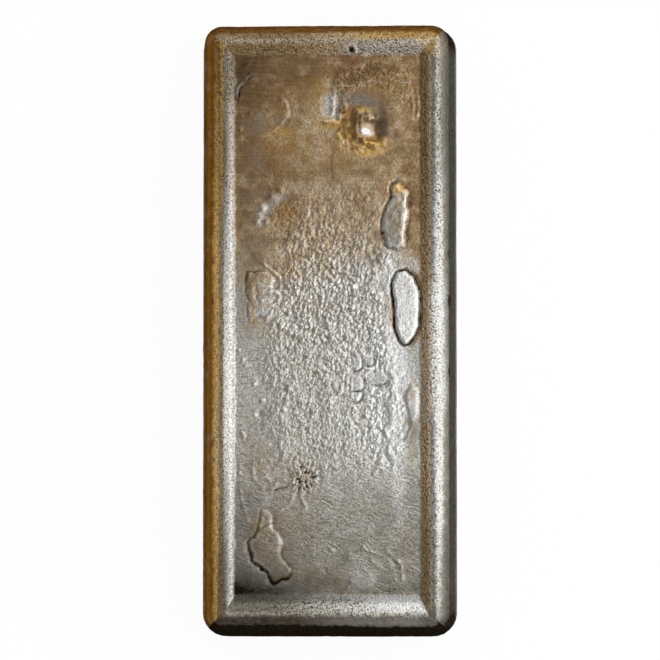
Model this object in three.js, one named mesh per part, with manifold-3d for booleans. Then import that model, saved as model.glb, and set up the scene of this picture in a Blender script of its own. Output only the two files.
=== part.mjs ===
// Cast silver kilogram bar, mould side up.
// Millimetres, +Z up, X across the bar, Y along it. The origin is on the floor under the bar's middle.
// The face that lay against the mould is uppermost: a sunk pan inside a rolled rim, with drafted sides
// that widen downwards. The face that was open to the air while the metal froze is underneath.

import * as THREE from 'three';
import { mergeVertices } from 'three/addons/utils/BufferGeometryUtils.js';
import Module from 'manifold-3d';

const wasm = await Module();
wasm.setup();

// ---- Bar ----
const LENGTH = 120; // at the foot
const WIDTH = 50; // at the foot
const HEIGHT = 18; // floor to rim crest
const SIDE_DRAFT = THREE.MathUtils.degToRad(5.5); // lean of the sides, narrower at the top
const FOOT_ROUND = 0.8; // edge between the sides and the underside
const RIM_ROUND = 3.5; // roll-over from the sides to the crest
const CORNER_ROUND = 4.8; // upright corners, at the foot
const MITRE_ROUND = 1.5; // what is left of the corner at the crest and inside the rim

// ---- Pan: the sunk field inside the rim ----
const PAN_DEPTH = 1.15; // below the crest
const SLOPE_LEFT = 2.6; // run from crest to pan on each side
const SLOPE_RIGHT = 2.1;
const SLOPE_TOP = 2.6;
const SLOPE_BOTTOM = 4.1;
const CREST_SHARE = 0.42; // share of the slope's run taken by the crest's rounding
const FILLET_SHARE = 0.4; // share taken by the fillet at its foot

// ---- Underside: a level border that the bar rests on, round a shallow shrinkage dish ----
const REST_BORDER = 3; // width of the level border
const DISH_DEPTH = 0.8;
const DISH_RUN = 12; // from the border to the dish's level middle
const DISH_CORNER = 7;

// ---- Blow-hole: a burst gas bubble near the top end, a smaller bowl beside it, and a crust round both ----
const HOLE_FROM_TOP = 14.1; // pan's top edge to the hole's centre
const HOLE_FROM_RIGHT = 8.8; // pan's right edge to the hole's centre
const HOLE_WIDTH = 5.4; // across the bar
const HOLE_LENGTH = 7.2; // along the bar
const HOLE_DEPTH = 0.95; // square to its mouth
const HOLE_TILT = THREE.MathUtils.degToRad(14); // so that its floor falls to the right
const BOWL_FROM_HOLE = [-5.1, 0.9]; // across and along the bar
const BOWL_WIDTH = 3.6;
const BOWL_LENGTH = 4.2;
const BOWL_DEPTH = 0.65;
const CRUST_FROM_HOLE = [-2.9, -0.2];
const CRUST_WIDTH = 10.6;
const CRUST_LENGTH = 9.8;
const CRUST_HEIGHT = 0.35;

// ---- Pinhole in the top rim ----
const PINHOLE_FROM_MIDDLE = 4.8; // bar's middle line to the pinhole, to the right
const PINHOLE_WIDTH = 1.1;
const PINHOLE_DEPTH = 0.9;

// ---- Cold laps: tongues of metal that froze early, each standing proud of the pan in a narrow fold ----
const LAP_EDGE = 0.15; // rounding of its top edge
const FOLD_WIDTH = 0.4; // groove round each lap

// Outlines go round each lap's own centre. inset is from the pan's side edge to that centre.
// along is from the pan's end edge, or from the bar's middle line across, to that centre.
// height is above the pan, and fold is how deep the groove round it goes below the pan.
const UPPER_LAP = {
  side: 'right',
  inset: 4.5,
  end: 'middle',
  along: 21.6,
  height: 0.5,
  fold: 0.3,
  outline: [
    [-0.7, 6.4], [0.7, 6.2], [2.2, 4.8], [2.6, 3.3], [2.3, 0.5], [2.2, -0.7], [2.0, -2.9], [1.6, -6.3],
    [-1.6, -6.0], [-2.0, -4.8], [-2.6, -2.3], [-2.8, -0.4], [-2.2, 1.4], [-1.2, 2.9], [-1.1, 5.4],
  ],
};
const MIDDLE_LAP = {
  side: 'right',
  inset: 2.8,
  end: 'middle',
  along: 3.9,
  height: 0.36,
  fold: 0.4,
  outline: [
    [-0.5, 7.1], [-1.9, 6.3], [-2.5, 4.6], [-2.5, 2.9], [-2.1, 1.1], [-2.0, -1.2], [-1.9, -4.0], [-1.3, -5.6],
    [-0.1, -7.1], [1.0, -6.5], [2.0, -5.2], [2.5, -3.5], [2.8, -0.6], [2.8, 1.9], [2.4, 4.0], [1.5, 6.0],
    [0.4, 6.9],
  ],
};
const LEFT_LAP = {
  side: 'left',
  inset: 4.9,
  end: 'middle',
  along: 6.2,
  height: 0.16,
  fold: 0.15,
  outline: [
    [-2.6, 4.2], [-1.0, 4.6], [1.3, 4.4], [2.9, 3.5], [2.2, 1.9], [3.3, 0.8], [3.5, -0.2], [2.3, -1.4],
    [1.7, -3.3], [1.1, -4.4], [-0.6, -4.0], [-2.3, -4.6], [-2.4, -1.0], [-2.7, 1.9],
  ],
};
const BOTTOM_LAP = {
  side: 'left',
  inset: 6.6,
  end: 'bottom',
  along: 8.2,
  height: 0.45,
  fold: 0.4,
  outline: [
    [-1.5, 8.0], [0, 7.8], [0.8, 6.2], [0.6, 4.9], [1.9, 3.6], [2.5, 1.9], [2.5, -0.6], [3.5, -2.3], [4.2, -3.8],
    [3.5, -5.0], [1.7, -5.6], [0.6, -5.9], [-0.4, -4.2], [-1.7, -3.1], [-2.9, -2.1], [-3.7, -0.4], [-4.0, 0.8],
    [-3.5, 2.1], [-2.2, 3.8], [-1.7, 6.2],
  ],
};
const LAPS = [UPPER_LAP, MIDDLE_LAP, LEFT_LAP, BOTTOM_LAP];

// ---- Knocks on the right-hand side: [along the bar, below the crest, width, height, depth] ----
const KNOCKS = [
  [5.5, 4.2, 3.0, 4.0, 0.5],
  [-8.4, 3.2, 1.8, 2.4, 0.35],
  [14.5, 2.6, 2.2, 2.0, 0.25],
];

// ---- Fineness of the facets ----
const CORNER_STEPS = 7; // round each upright corner
const ARC_STEPS = 7; // over the rim
const SLOPE_STEPS = 8; // down to the pan
const DISH_STEPS = 4;
const ROUND_STEPS = 28; // round the blow-hole
const LAP_STEPS_PER_POINT = 2;

const METAL = new THREE.MeshStandardMaterial({ color: 0xb4a996, metalness: 1, roughness: 0.36 });

// ---- Places that several features share ----
const RIM_CENTRE_Z = HEIGHT - RIM_ROUND;
const DRAFT_TOP_Z = RIM_CENTRE_Z + RIM_ROUND * Math.sin(SIDE_DRAFT);
const PAN_Z = HEIGHT - PAN_DEPTH;
const CREST_INSET = insetAt(DRAFT_TOP_Z) + RIM_ROUND * Math.cos(SIDE_DRAFT);
const PAN = {
  left: -WIDTH / 2 + CREST_INSET + SLOPE_LEFT,
  right: WIDTH / 2 - CREST_INSET - SLOPE_RIGHT,
  top: LENGTH / 2 - CREST_INSET - SLOPE_TOP,
  bottom: -LENGTH / 2 + CREST_INSET + SLOPE_BOTTOM,
};

// How far the leaning side has come in from the foot's outline at height z.
function insetAt(z) {
  const start = FOOT_ROUND * (1 - Math.cos(SIDE_DRAFT));
  const rise = z - FOOT_ROUND * (1 + Math.sin(SIDE_DRAFT));
  return start + rise * Math.tan(SIDE_DRAFT);
}

// ---- Skin of the bar: rings from the middle of the underside, out, up, over the rim and into the pan ----

// A ring is a rectangle with rounded corners, as points that run anticlockwise.
function ring({ left, right, bottom, top }, round, z) {
  const corners = [
    [right - round, top - round, 0],
    [left + round, top - round, 90],
    [left + round, bottom + round, 180],
    [right - round, bottom + round, 270],
  ];
  return corners.flatMap(([x, y, startDegrees]) =>
    Array.from({ length: CORNER_STEPS + 1 }, (_, i) => {
      const angle = THREE.MathUtils.degToRad(startDegrees + (90 * i) / CORNER_STEPS);
      return new THREE.Vector3(x + round * Math.cos(angle), y + round * Math.sin(angle), z);
    }),
  );
}

function outline(inset) {
  return {
    left: -WIDTH / 2 + inset,
    right: WIDTH / 2 - inset,
    bottom: -LENGTH / 2 + inset,
    top: LENGTH / 2 - inset,
  };
}

function undersideRings() {
  const border = FOOT_ROUND + REST_BORDER;
  return Array.from({ length: DISH_STEPS + 1 }, (_, i) => {
    const share = 1 - i / DISH_STEPS;
    const z = DISH_DEPTH * THREE.MathUtils.smoothstep(share, 0, 1);
    return ring(outline(border + share * DISH_RUN), DISH_CORNER, z);
  });
}

function outerRings() {
  const cornerAt = (inset) => Math.max(CORNER_ROUND - inset, MITRE_ROUND);
  const rings = [];
  const footLeans = [-90, -60, -30, 0].map(THREE.MathUtils.degToRad);
  for (const lean of [...footLeans, SIDE_DRAFT]) {
    const inset = FOOT_ROUND * (1 - Math.cos(lean));
    rings.push(ring(outline(inset), cornerAt(inset), FOOT_ROUND * (1 + Math.sin(lean))));
  }
  for (let i = 0; i <= ARC_STEPS; i++) {
    const lean = THREE.MathUtils.lerp(SIDE_DRAFT, Math.PI / 2, i / ARC_STEPS);
    const inset = CREST_INSET - RIM_ROUND * Math.cos(lean);
    rings.push(ring(outline(inset), cornerAt(inset), RIM_CENTRE_Z + RIM_ROUND * Math.sin(lean)));
  }
  return rings;
}

// Height of the slope inside the rim, from 1 at the crest to 0 at the pan, after this share of its run:
// a parabola off the crest, a straight fall, and a parabola into the pan.
function slopeFall(share) {
  const straightFall = 1 / (1 - CREST_SHARE / 2 - FILLET_SHARE / 2);
  if (share < CREST_SHARE) return 1 - (straightFall * share ** 2) / (2 * CREST_SHARE);
  const left = 1 - share;
  if (left < FILLET_SHARE) return (straightFall * left ** 2) / (2 * FILLET_SHARE);
  return 1 - straightFall * (share - CREST_SHARE / 2);
}

function slopeRings() {
  const crest = outline(CREST_INSET);
  return Array.from({ length: SLOPE_STEPS }, (_, i) => {
    const share = (i + 1) / SLOPE_STEPS;
    const mix = (edge) => THREE.MathUtils.lerp(crest[edge], PAN[edge], share);
    const edges = { left: mix('left'), right: mix('right'), bottom: mix('bottom'), top: mix('top') };
    return ring(edges, MITRE_ROUND, PAN_Z + PAN_DEPTH * slopeFall(share));
  });
}

// Joins each ring to the next and closes the first and last with a fan from their middles.
function loft(rings) {
  const count = rings[0].length;
  const middle = (points) =>
    points.reduce((sum, p) => sum.add(p), new THREE.Vector3()).divideScalar(points.length);
  const points = [...rings.flat(), middle(rings[0]), middle(rings.at(-1))];
  const firstPole = rings.length * count;
  const lastPole = firstPole + 1;
  const lastRing = (rings.length - 1) * count;
  const index = [];
  for (let i = 0; i < count; i++) {
    const next = (i + 1) % count;
    index.push(firstPole, next, i);
    index.push(lastPole, lastRing + i, lastRing + next);
    for (let row = 0; row < lastRing; row += count) {
      index.push(row + i, row + next, row + count + next);
      index.push(row + i, row + count + next, row + count + i);
    }
  }
  const geometry = new THREE.BufferGeometry().setFromPoints(points);
  geometry.setIndex(index);
  return geometry;
}

// ---- Joining and cutting ----

function solid(geometry) {
  const bare = geometry.clone();
  bare.deleteAttribute('normal');
  bare.deleteAttribute('uv');
  const merged = mergeVertices(bare, 1e-5);
  return new wasm.Manifold(
    new wasm.Mesh({
      numProp: 3,
      vertProperties: new Float32Array(merged.attributes.position.array),
      triVerts: new Uint32Array(merged.index.array),
    }),
  );
}

function geometryOf(manifold) {
  const mesh = manifold.getMesh();
  const geometry = new THREE.BufferGeometry();
  geometry.setAttribute('position', new THREE.BufferAttribute(mesh.vertProperties, 3));
  geometry.setIndex(new THREE.BufferAttribute(mesh.triVerts, 1));
  geometry.computeVertexNormals();
  return geometry;
}

// ---- Features of the pan and rim ----

function lapPlace({ side, inset, end, along }) {
  const x = side === 'right' ? PAN.right - inset : PAN.left + inset;
  const y = end === 'bottom' ? PAN.bottom + along : along;
  return [x, y];
}

function lapShape({ outline: points }) {
  const loop = new THREE.CatmullRomCurve3(
    points.map(([x, y]) => new THREE.Vector3(x, y, 0)),
    true,
    'centripetal',
  );
  const dense = loop.getPoints(points.length * LAP_STEPS_PER_POINT).slice(0, -1);
  return new THREE.Shape(dense.map(({ x, y }) => new THREE.Vector2(x, y)));
}

// The groove is the lap's own outline, grown by the fold's width and cut into the pan.
function foldCutter(lap) {
  const groove = new THREE.ExtrudeGeometry(lapShape(lap), {
    depth: lap.fold + PAN_DEPTH,
    steps: 1,
    bevelEnabled: true,
    bevelThickness: lap.fold,
    bevelSize: FOLD_WIDTH,
    bevelSegments: 1,
  });
  groove.translate(...lapPlace(lap), PAN_Z);
  return solid(groove);
}

function lapTongue(lap) {
  const root = PAN_DEPTH; // how deep it is rooted under the fold
  const tongue = new THREE.ExtrudeGeometry(lapShape(lap), {
    depth: root + lap.height - LAP_EDGE,
    steps: 1,
    bevelEnabled: true,
    bevelThickness: LAP_EDGE,
    bevelSize: LAP_EDGE,
    bevelOffset: -LAP_EDGE,
    bevelSegments: 2,
  });
  tongue.translate(...lapPlace(lap), PAN_Z - root);
  return solid(tongue);
}

const HOLE_PLACE = [PAN.right - HOLE_FROM_RIGHT, PAN.top - HOLE_FROM_TOP];

// A ball, flattened to this width, length and half-height. Its middle is on the pan, offset from the hole's.
function flatBall(width, length, reach, [across, along] = [0, 0], tilt = 0) {
  const ball = new THREE.SphereGeometry(1, ROUND_STEPS, ROUND_STEPS / 2);
  ball.rotateX(Math.PI / 2);
  ball.scale(width / 2, length / 2, reach);
  ball.rotateY(tilt);
  ball.translate(HOLE_PLACE[0] + across, HOLE_PLACE[1] + along, PAN_Z);
  return solid(ball);
}

const crust = () => flatBall(CRUST_WIDTH, CRUST_LENGTH, CRUST_HEIGHT, CRUST_FROM_HOLE);
const bowlCutter = () => flatBall(BOWL_WIDTH, BOWL_LENGTH, BOWL_DEPTH, BOWL_FROM_HOLE);
const holeCutter = () => flatBall(HOLE_WIDTH, HOLE_LENGTH, HOLE_DEPTH, [0, 0], HOLE_TILT);

function pinholeCutter() {
  const pit = new THREE.SphereGeometry(1, 12, 8);
  pit.rotateX(Math.PI / 2);
  pit.scale(PINHOLE_WIDTH / 2, PINHOLE_WIDTH / 2, PINHOLE_DEPTH);
  const y = LENGTH / 2 - CREST_INSET - SLOPE_TOP * CREST_SHARE;
  pit.translate(PINHOLE_FROM_MIDDLE, y, PAN_Z + PAN_DEPTH * slopeFall(CREST_SHARE));
  return solid(pit);
}

// A ball, flattened against the side, that bites to its depth below the rim's roll-over.
function knockCutter([along, below, width, height, depth]) {
  const lean = Math.asin(THREE.MathUtils.clamp(1 - below / RIM_ROUND, Math.sin(SIDE_DRAFT), 1));
  const z = HEIGHT - below;
  const inset = z > DRAFT_TOP_Z ? CREST_INSET - RIM_ROUND * Math.cos(lean) : insetAt(z);
  const ball = new THREE.SphereGeometry(1, 14, 10);
  const reach = 3 * depth; // half-thickness of the flattened ball
  const chord = Math.sqrt(1 - ((reach - depth) / reach) ** 2); // mouth's share of the ball's size
  ball.scale(reach, width / 2 / chord, height / 2 / chord);
  ball.rotateY(-lean);
  const outward = new THREE.Vector3(Math.cos(lean), 0, Math.sin(lean));
  const surface = new THREE.Vector3(WIDTH / 2 - inset, along, z);
  ball.translate(...surface.addScaledVector(outward, reach - depth));
  return solid(ball);
}

// ---- The bar ----

let bar = solid(loft([...undersideRings(), ...outerRings(), ...slopeRings()]));
bar = bar.add(crust()).subtract(bowlCutter()).subtract(holeCutter()).subtract(pinholeCutter());
for (const lap of LAPS) bar = bar.subtract(foldCutter(lap)).add(lapTongue(lap));
for (const knock of KNOCKS) bar = bar.subtract(knockCutter(knock));

const ingot = new THREE.Mesh(geometryOf(bar), METAL);
ingot.name = 'ingot';

const part = new THREE.Group();
part.add(ingot);

export default part;
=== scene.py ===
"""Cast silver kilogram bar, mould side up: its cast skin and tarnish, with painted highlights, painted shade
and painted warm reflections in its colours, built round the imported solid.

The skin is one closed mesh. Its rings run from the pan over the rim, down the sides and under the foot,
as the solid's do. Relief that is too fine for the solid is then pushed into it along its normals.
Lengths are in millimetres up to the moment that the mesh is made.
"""

import math

import bpy
import numpy as np
from mathutils import Matrix, Vector


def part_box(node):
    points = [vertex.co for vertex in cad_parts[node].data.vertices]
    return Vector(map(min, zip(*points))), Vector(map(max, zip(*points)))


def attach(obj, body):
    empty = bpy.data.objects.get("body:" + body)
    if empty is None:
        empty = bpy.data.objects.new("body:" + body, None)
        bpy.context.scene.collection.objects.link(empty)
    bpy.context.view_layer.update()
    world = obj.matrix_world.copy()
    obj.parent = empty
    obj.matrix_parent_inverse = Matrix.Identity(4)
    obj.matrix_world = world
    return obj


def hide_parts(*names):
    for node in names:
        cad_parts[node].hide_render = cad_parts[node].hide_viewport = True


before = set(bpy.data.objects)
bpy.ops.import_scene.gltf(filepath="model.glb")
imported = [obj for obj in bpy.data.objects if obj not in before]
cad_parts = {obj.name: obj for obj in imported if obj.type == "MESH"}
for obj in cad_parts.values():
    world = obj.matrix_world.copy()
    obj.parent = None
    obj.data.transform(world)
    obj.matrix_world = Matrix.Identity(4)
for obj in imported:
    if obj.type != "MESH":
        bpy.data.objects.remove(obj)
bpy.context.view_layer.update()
MM = 0.001

# ---- Camera: nearly overhead, a little to the right of the bar's middle and towards its lower end ----
CAMERA_PLACE = (30.0, -27.7, 700.0)
CAMERA_TARGET = (0.0, 0.3, 0.0)
FRAME_WIDTH = 130.2  # what the square frame spans at the floor
FLOOR_HALF, FLOOR_GAP = 3.0, 0.0001  # in metres
HORIZON_LIGHT = 0.9

# ---- The bar's section, as the solid has it ----
LOW, HIGH = (np.array(corner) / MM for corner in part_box("ingot"))
WIDTH, LENGTH, HEIGHT = HIGH - LOW
SIDE_DRAFT = math.radians(5.5)
FOOT_ROUND = 0.8
RIM_ROUND = 3.5
CORNER_ROUND = 4.8
MITRE_ROUND = 1.5
PAN_DEPTH = 1.15
SLOPE = {"left": 2.6, "right": 2.1, "top": 2.6, "bottom": 4.1}
CREST_SHARE = 0.42
FILLET_SHARE = 0.4
REST_BORDER = 3.0
DISH_DEPTH = 0.8
DISH_RUN = 12.0

# ---- Fineness of the skin ----
PAN_CELLS = (140, 416)  # across and along; the rings halve them twice, so both divide by 4
SLOPE_RINGS = 10
ARC_RINGS = 12
UPPER_SIDE_RINGS = 5
LOWER_SIDE_RINGS = 4
SIDE_SPREAD = 1.3  # more than 1 packs the side's rings towards the rim
FOOT_RINGS = 4
BORDER_RINGS = 4
RECESS_REACH = 3  # cells on either side that make up a point's neighbourhood


# ---- Noise and outlines ----

NOISE_SIZE = 32
NOISE_GAIN = 1.6
NOISE_SHIFT = 7.3  # keeps the lattice's own corners off the bar's middle
JITTER_SIZE = 64


def noise(points, cell, seed):
    """Smooth gradient noise, roughly -1 to 1, with lumps about one cell across."""
    gradients = np.random.default_rng(seed).normal(size=(NOISE_SIZE,) * 3 + (3,))
    gradients /= np.linalg.norm(gradients, axis=-1, keepdims=True)
    place = points / cell + NOISE_SHIFT
    corner = np.floor(place).astype(int)
    offset = place - corner
    fade = offset ** 3 * (offset * (offset * 6 - 15) + 10)
    total = np.zeros(len(points))
    for step in np.ndindex(2, 2, 2):
        index = tuple(((corner + step) % NOISE_SIZE).T)
        weight = np.prod(np.where(step, fade, 1 - fade), axis=1)
        total += weight * np.sum(gradients[index] * (offset - step), axis=1)
    return total * NOISE_GAIN


def turbulence(points, cell, seed, octaves=3, keep=0.5):
    """Noise over several octaves."""
    return sum(keep ** i * noise(points, cell / 2 ** i, seed + i) for i in range(octaves))


def ease(value, start, end):
    """0 at start and 1 at end, easing in between. start may be the larger of the two."""
    share = np.clip((value - start) / (end - start), 0, 1)
    return share * share * (3 - 2 * share)


def hump(value, width):
    """1 at 0, falling off smoothly over about this width on either side."""
    return np.exp(-(value / width) ** 2)


def smooth_path(points, closed=False, steps=5):
    """A Catmull-Rom curve through the points."""
    p = np.array(points, float)
    if closed:
        p = np.vstack([p[-1], p, p[:2]])
    else:
        p = np.vstack([2 * p[0] - p[1], p, 2 * p[-1] - p[-2]])
    share = np.linspace(0, 1, steps, endpoint=False)[:, None]
    pieces = []
    for a, b, c, d in zip(p, p[1:], p[2:], p[3:]):
        pieces.append(0.5 * (2 * b + (c - a) * share + (2 * a - 5 * b + 4 * c - d) * share ** 2
                             + (3 * b - a - 3 * c + d) * share ** 3))
    path = np.vstack(pieces)
    return path if closed else np.vstack([path, p[-2]])


def distance(x, y, path, closed=False):
    """Distance from each point to a path. Round a closed one it is positive inside and negative outside;
    beside an open one it is positive on the left of the way it runs."""
    ends = np.roll(path, -1, axis=0) if closed else path[1:]
    starts = path if closed else path[:-1]
    nearest = np.full(x.shape, np.inf)
    inside = np.zeros(x.shape, bool)
    side = np.ones(x.shape)
    for (ax, ay), (bx, by) in zip(starts, ends):
        dx, dy = bx - ax, by - ay
        share = np.clip(((x - ax) * dx + (y - ay) * dy) / (dx * dx + dy * dy), 0, 1)
        away = np.hypot(x - ax - share * dx, y - ay - share * dy)
        closer = away < nearest
        nearest = np.where(closer, away, nearest)
        if closed:
            crosses = (ay > y) != (by > y)
            run = dx / dy if dy else 0.0
            inside ^= crosses & (x < ax + (y - ay) * run)
        else:
            side = np.where(closer, np.sign(dx * (y - ay) - dy * (x - ax)), side)
    return np.where(inside, nearest, -nearest) if closed else nearest * side


# ---- The plain skin ----

def inset_at(z):
    """How far the leaning side has come in from the foot's outline at height z."""
    return (FOOT_ROUND * (1 - math.cos(SIDE_DRAFT))
            + (z - FOOT_ROUND * (1 + math.sin(SIDE_DRAFT))) * math.tan(SIDE_DRAFT))


RIM_CENTRE_Z = HEIGHT - RIM_ROUND
DRAFT_TOP_Z = RIM_CENTRE_Z + RIM_ROUND * math.sin(SIDE_DRAFT)
DRAFT_FOOT_Z = FOOT_ROUND * (1 + math.sin(SIDE_DRAFT))
PAN_Z = HEIGHT - PAN_DEPTH
CREST_INSET = inset_at(DRAFT_TOP_Z) + RIM_ROUND * math.cos(SIDE_DRAFT)


def outline(inset):
    """The foot's outline, drawn in by this much: left, right, bottom and top edge."""
    return np.array([-WIDTH / 2 + inset, WIDTH / 2 - inset, -LENGTH / 2 + inset, LENGTH / 2 - inset])


CREST = outline(CREST_INSET)
PAN = CREST + [SLOPE["left"], -SLOPE["right"], SLOPE["bottom"], -SLOPE["top"]]


def ring(edges, corner, z, cells):
    """Points round a rectangle with rounded corners, anticlockwise from the middle of its lower left
    corner. cells is how many run across and along it, counted between the corners' middles."""
    left, right, bottom, top = edges
    half_arc = math.pi / 4 * corner
    sides = [((left, bottom), (right, bottom), -90, cells[0]), ((right, bottom), (right, top), 0, cells[1]),
             ((right, top), (left, top), 90, cells[0]), ((left, top), (left, bottom), 180, cells[1])]
    points = []
    for start, end, facing, count in sides:
        start, end = np.array(start), np.array(end)
        length = np.linalg.norm(end - start)
        along = (end - start) / length
        facing = math.radians(facing)
        outward = np.array([math.cos(facing), math.sin(facing)])
        straight = length - 2 * corner
        run = np.arange(count) / count * (straight + 2 * half_arc)
        turn = np.zeros(count)
        if corner:
            turn = np.minimum(run - half_arc, 0) / corner
            turn += np.maximum(run - half_arc - straight, 0) / corner
        forward = np.clip(run - half_arc, 0, straight)[:, None]
        centre = start + along * (corner + forward) - outward * corner
        spoke = np.stack([np.cos(facing + turn), np.sin(facing + turn)], axis=1)
        points.append(centre + spoke * corner)
    flat = np.vstack(points)
    return np.column_stack([flat, np.full(len(flat), z)])


def slope_fall(share):
    """Height of the slope inside the rim, from 1 at the crest to 0 at the pan."""
    fall = 1 / (1 - CREST_SHARE / 2 - FILLET_SHARE / 2)
    if share < CREST_SHARE:
        return 1 - fall * share ** 2 / (2 * CREST_SHARE)
    left = 1 - share
    if left < FILLET_SHARE:
        return fall * left ** 2 / (2 * FILLET_SHARE)
    return 1 - fall * (share - CREST_SHARE / 2)


def grid(edges, z, cells):
    """Points of a level grid, row by row from its lower left corner."""
    left, right, bottom, top = edges
    x, y = np.meshgrid(np.linspace(left, right, cells[0] + 1), np.linspace(bottom, top, cells[1] + 1))
    return np.column_stack([x.ravel(), y.ravel(), np.full(x.size, z)])


def grid_numbers(first, cells):
    return first + np.arange((cells[0] + 1) * (cells[1] + 1)).reshape(cells[1] + 1, cells[0] + 1)


def grid_border(first, cells):
    """Numbers of a grid's border points, anticlockwise from its lower left corner."""
    number = grid_numbers(first, cells)
    return np.concatenate([number[0, :-1], number[:-1, -1], number[-1, :0:-1], number[:0:-1, 0]])


def grid_faces(first, cells):
    number = grid_numbers(first, cells)
    return np.stack([number[:-1, :-1], number[:-1, 1:], number[1:, 1:], number[1:, :-1]], -1).reshape(-1, 4)


def strip(inner, outer):
    """Quads between two rings of as many points."""
    return np.stack([inner, outer, np.roll(outer, -1), np.roll(inner, -1)], axis=1)


def halving_strip(inner, outer):
    """Triangles between a ring and one of half as many points."""
    even, odd, after = inner[::2], inner[1::2], np.roll(inner[::2], -1)
    following = np.roll(outer, -1)
    corners = [(even, outer, odd), (odd, outer, following), (odd, following, after)]
    return np.vstack([np.stack(three, axis=1) for three in corners])


def ring_plan():
    """The rings from the pan outwards and down to the underside: edges, corner radius, height, and how
    many times the cells are halved."""
    def corner(inset):
        return max(CORNER_ROUND - inset, MITRE_ROUND)

    plan = []
    for i in range(1, SLOPE_RINGS):
        share = 1 - i / SLOPE_RINGS
        edges = CREST + (PAN - CREST) * share
        plan.append((edges, min(MITRE_ROUND, 0.4 * i), PAN_Z + PAN_DEPTH * slope_fall(share), 0))
    for i in range(ARC_RINGS + 1):
        lean = math.pi / 2 + (SIDE_DRAFT - math.pi / 2) * i / ARC_RINGS
        inset = CREST_INSET - RIM_ROUND * math.cos(lean)
        plan.append((outline(inset), corner(inset), RIM_CENTRE_Z + RIM_ROUND * math.sin(lean), 0))
    side_rings = UPPER_SIDE_RINGS + LOWER_SIDE_RINGS
    for i in range(1, side_rings):
        z = DRAFT_TOP_Z + (DRAFT_FOOT_Z - DRAFT_TOP_Z) * (i / side_rings) ** SIDE_SPREAD
        inset = inset_at(z)
        plan.append((outline(inset), corner(inset), z, 1 if i <= UPPER_SIDE_RINGS else 2))
    for i in range(FOOT_RINGS + 1):
        lean = SIDE_DRAFT - (SIDE_DRAFT + math.pi / 2) * i / FOOT_RINGS
        inset = FOOT_ROUND * (1 - math.cos(lean))
        plan.append((outline(inset), corner(inset), FOOT_ROUND * (1 + math.sin(lean)), 2))
    for i in range(1, BORDER_RINGS):
        inset = FOOT_ROUND + REST_BORDER * i / BORDER_RINGS
        plan.append((outline(inset), corner(inset) * (1 - i / BORDER_RINGS), 0.0, 2))
    return plan


def plain_skin():
    """Points, quads and triangles of the skin without relief."""
    points = [grid(PAN, PAN_Z, PAN_CELLS)]
    quads = [grid_faces(0, PAN_CELLS)]
    triangles = []
    before = grid_border(0, PAN_CELLS)
    count = len(points[0])
    for edges, corner, z, halvings in ring_plan():
        cells = [n >> halvings for n in PAN_CELLS]
        points.append(ring(edges, corner, z, cells))
        now = count + np.arange(len(points[-1]))
        count += len(now)
        if len(now) == len(before):
            quads.append(strip(before, now))
        else:
            triangles.append(halving_strip(before, now))
        before = now
    cells = [n >> 2 for n in PAN_CELLS]
    dish = grid(outline(FOOT_ROUND + REST_BORDER), 0.0, cells)
    inset = np.minimum(WIDTH / 2 - np.abs(dish[:, 0]), LENGTH / 2 - np.abs(dish[:, 1]))
    run = inset - FOOT_ROUND - REST_BORDER
    dish[:, 2] = DISH_DEPTH * ease(run, 0, DISH_RUN)
    points.append(dish)
    quads.append(grid_faces(count, cells)[:, ::-1])
    quads.append(strip(before, grid_border(count, cells)))
    return np.vstack(points), np.vstack(quads), np.vstack(triangles)


# ---- Relief of the pan, seen from above. Heights and places are in millimetres. ----

# Cold laps: each tongue's centre, how high it stands, how far its right-hand side rolls down towards the
# pan, how deep the fold round it is, which way the fold opens most, how lumpy its top is, how ragged its
# outline is, and that outline round the centre.
LAPS = {
    "upper": dict(centre=(13.5, 21.6), height=0.5, roll=0.8, fold=0.24, opens=(-1, 0.3), lumps=0.07,
                ragged=0.4, outline=[
        (-0.7, 6.4), (0.7, 6.2), (2.2, 4.8), (2.6, 3.3), (2.3, 0.5), (2.2, -0.7), (2, -2.9), (1.6, -6.3),
        (-1.6, -6), (-2, -4.8), (-2.6, -2.3), (-2.8, -0.4), (-2.2, 1.4), (-1.2, 2.9), (-1.1, 5.4)]),
    "middle": dict(centre=(15.2, 3.9), height=0.36, roll=0.7, fold=0.5, opens=(0, 0), lumps=0.01,
                ragged=0.14, outline=[
        (-0.5, 7.1), (-1.9, 6.3), (-2.5, 4.6), (-2.5, 2.9), (-2.1, 1.1), (-2, -1.2), (-1.9, -4),
        (-1.3, -5.6), (-0.1, -7.1), (1, -6.5), (2, -5.2), (2.5, -3.5), (2.8, -0.6), (2.8, 1.9),
        (2.4, 4), (1.5, 6), (0.4, 6.9)]),
    "left": dict(centre=(-12.6, 6.2), height=0.14, roll=0.6, fold=0.14, opens=(-1, 0.4), lumps=0.04,
                ragged=0.28, outline=[
        (-2.6, 4.2), (-1, 4.6), (1.3, 4.4), (2.9, 3.5), (2.2, 1.9), (3.3, 0.8), (3.5, -0.2), (2.3, -1.4),
        (1.7, -3.3), (1.1, -4.4), (-0.6, -4), (-2.3, -4.6), (-2.4, -1), (-2.7, 1.9)]),
    "bottom": dict(centre=(-10.9, -42.9), height=0.36, roll=0.6, fold=0.22, opens=(-1, -1.2), lumps=0.02,
                ragged=0.28, outline=[
        (-1.5, 8), (0, 7.8), (0.8, 6.2), (0.6, 4.9), (1.9, 3.6), (2.5, 1.9), (2.5, -0.6), (3.5, -2.3),
        (4.2, -3.8), (3.5, -5), (1.7, -5.6), (0.6, -5.9), (-0.4, -4.2), (-1.7, -3.1), (-2.9, -2.1),
        (-3.7, -0.4), (-4, 0.8), (-3.5, 2.1), (-2.2, 3.8), (-1.7, 6.2)]),
}
FOLD_WIDTH = 0.19

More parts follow.
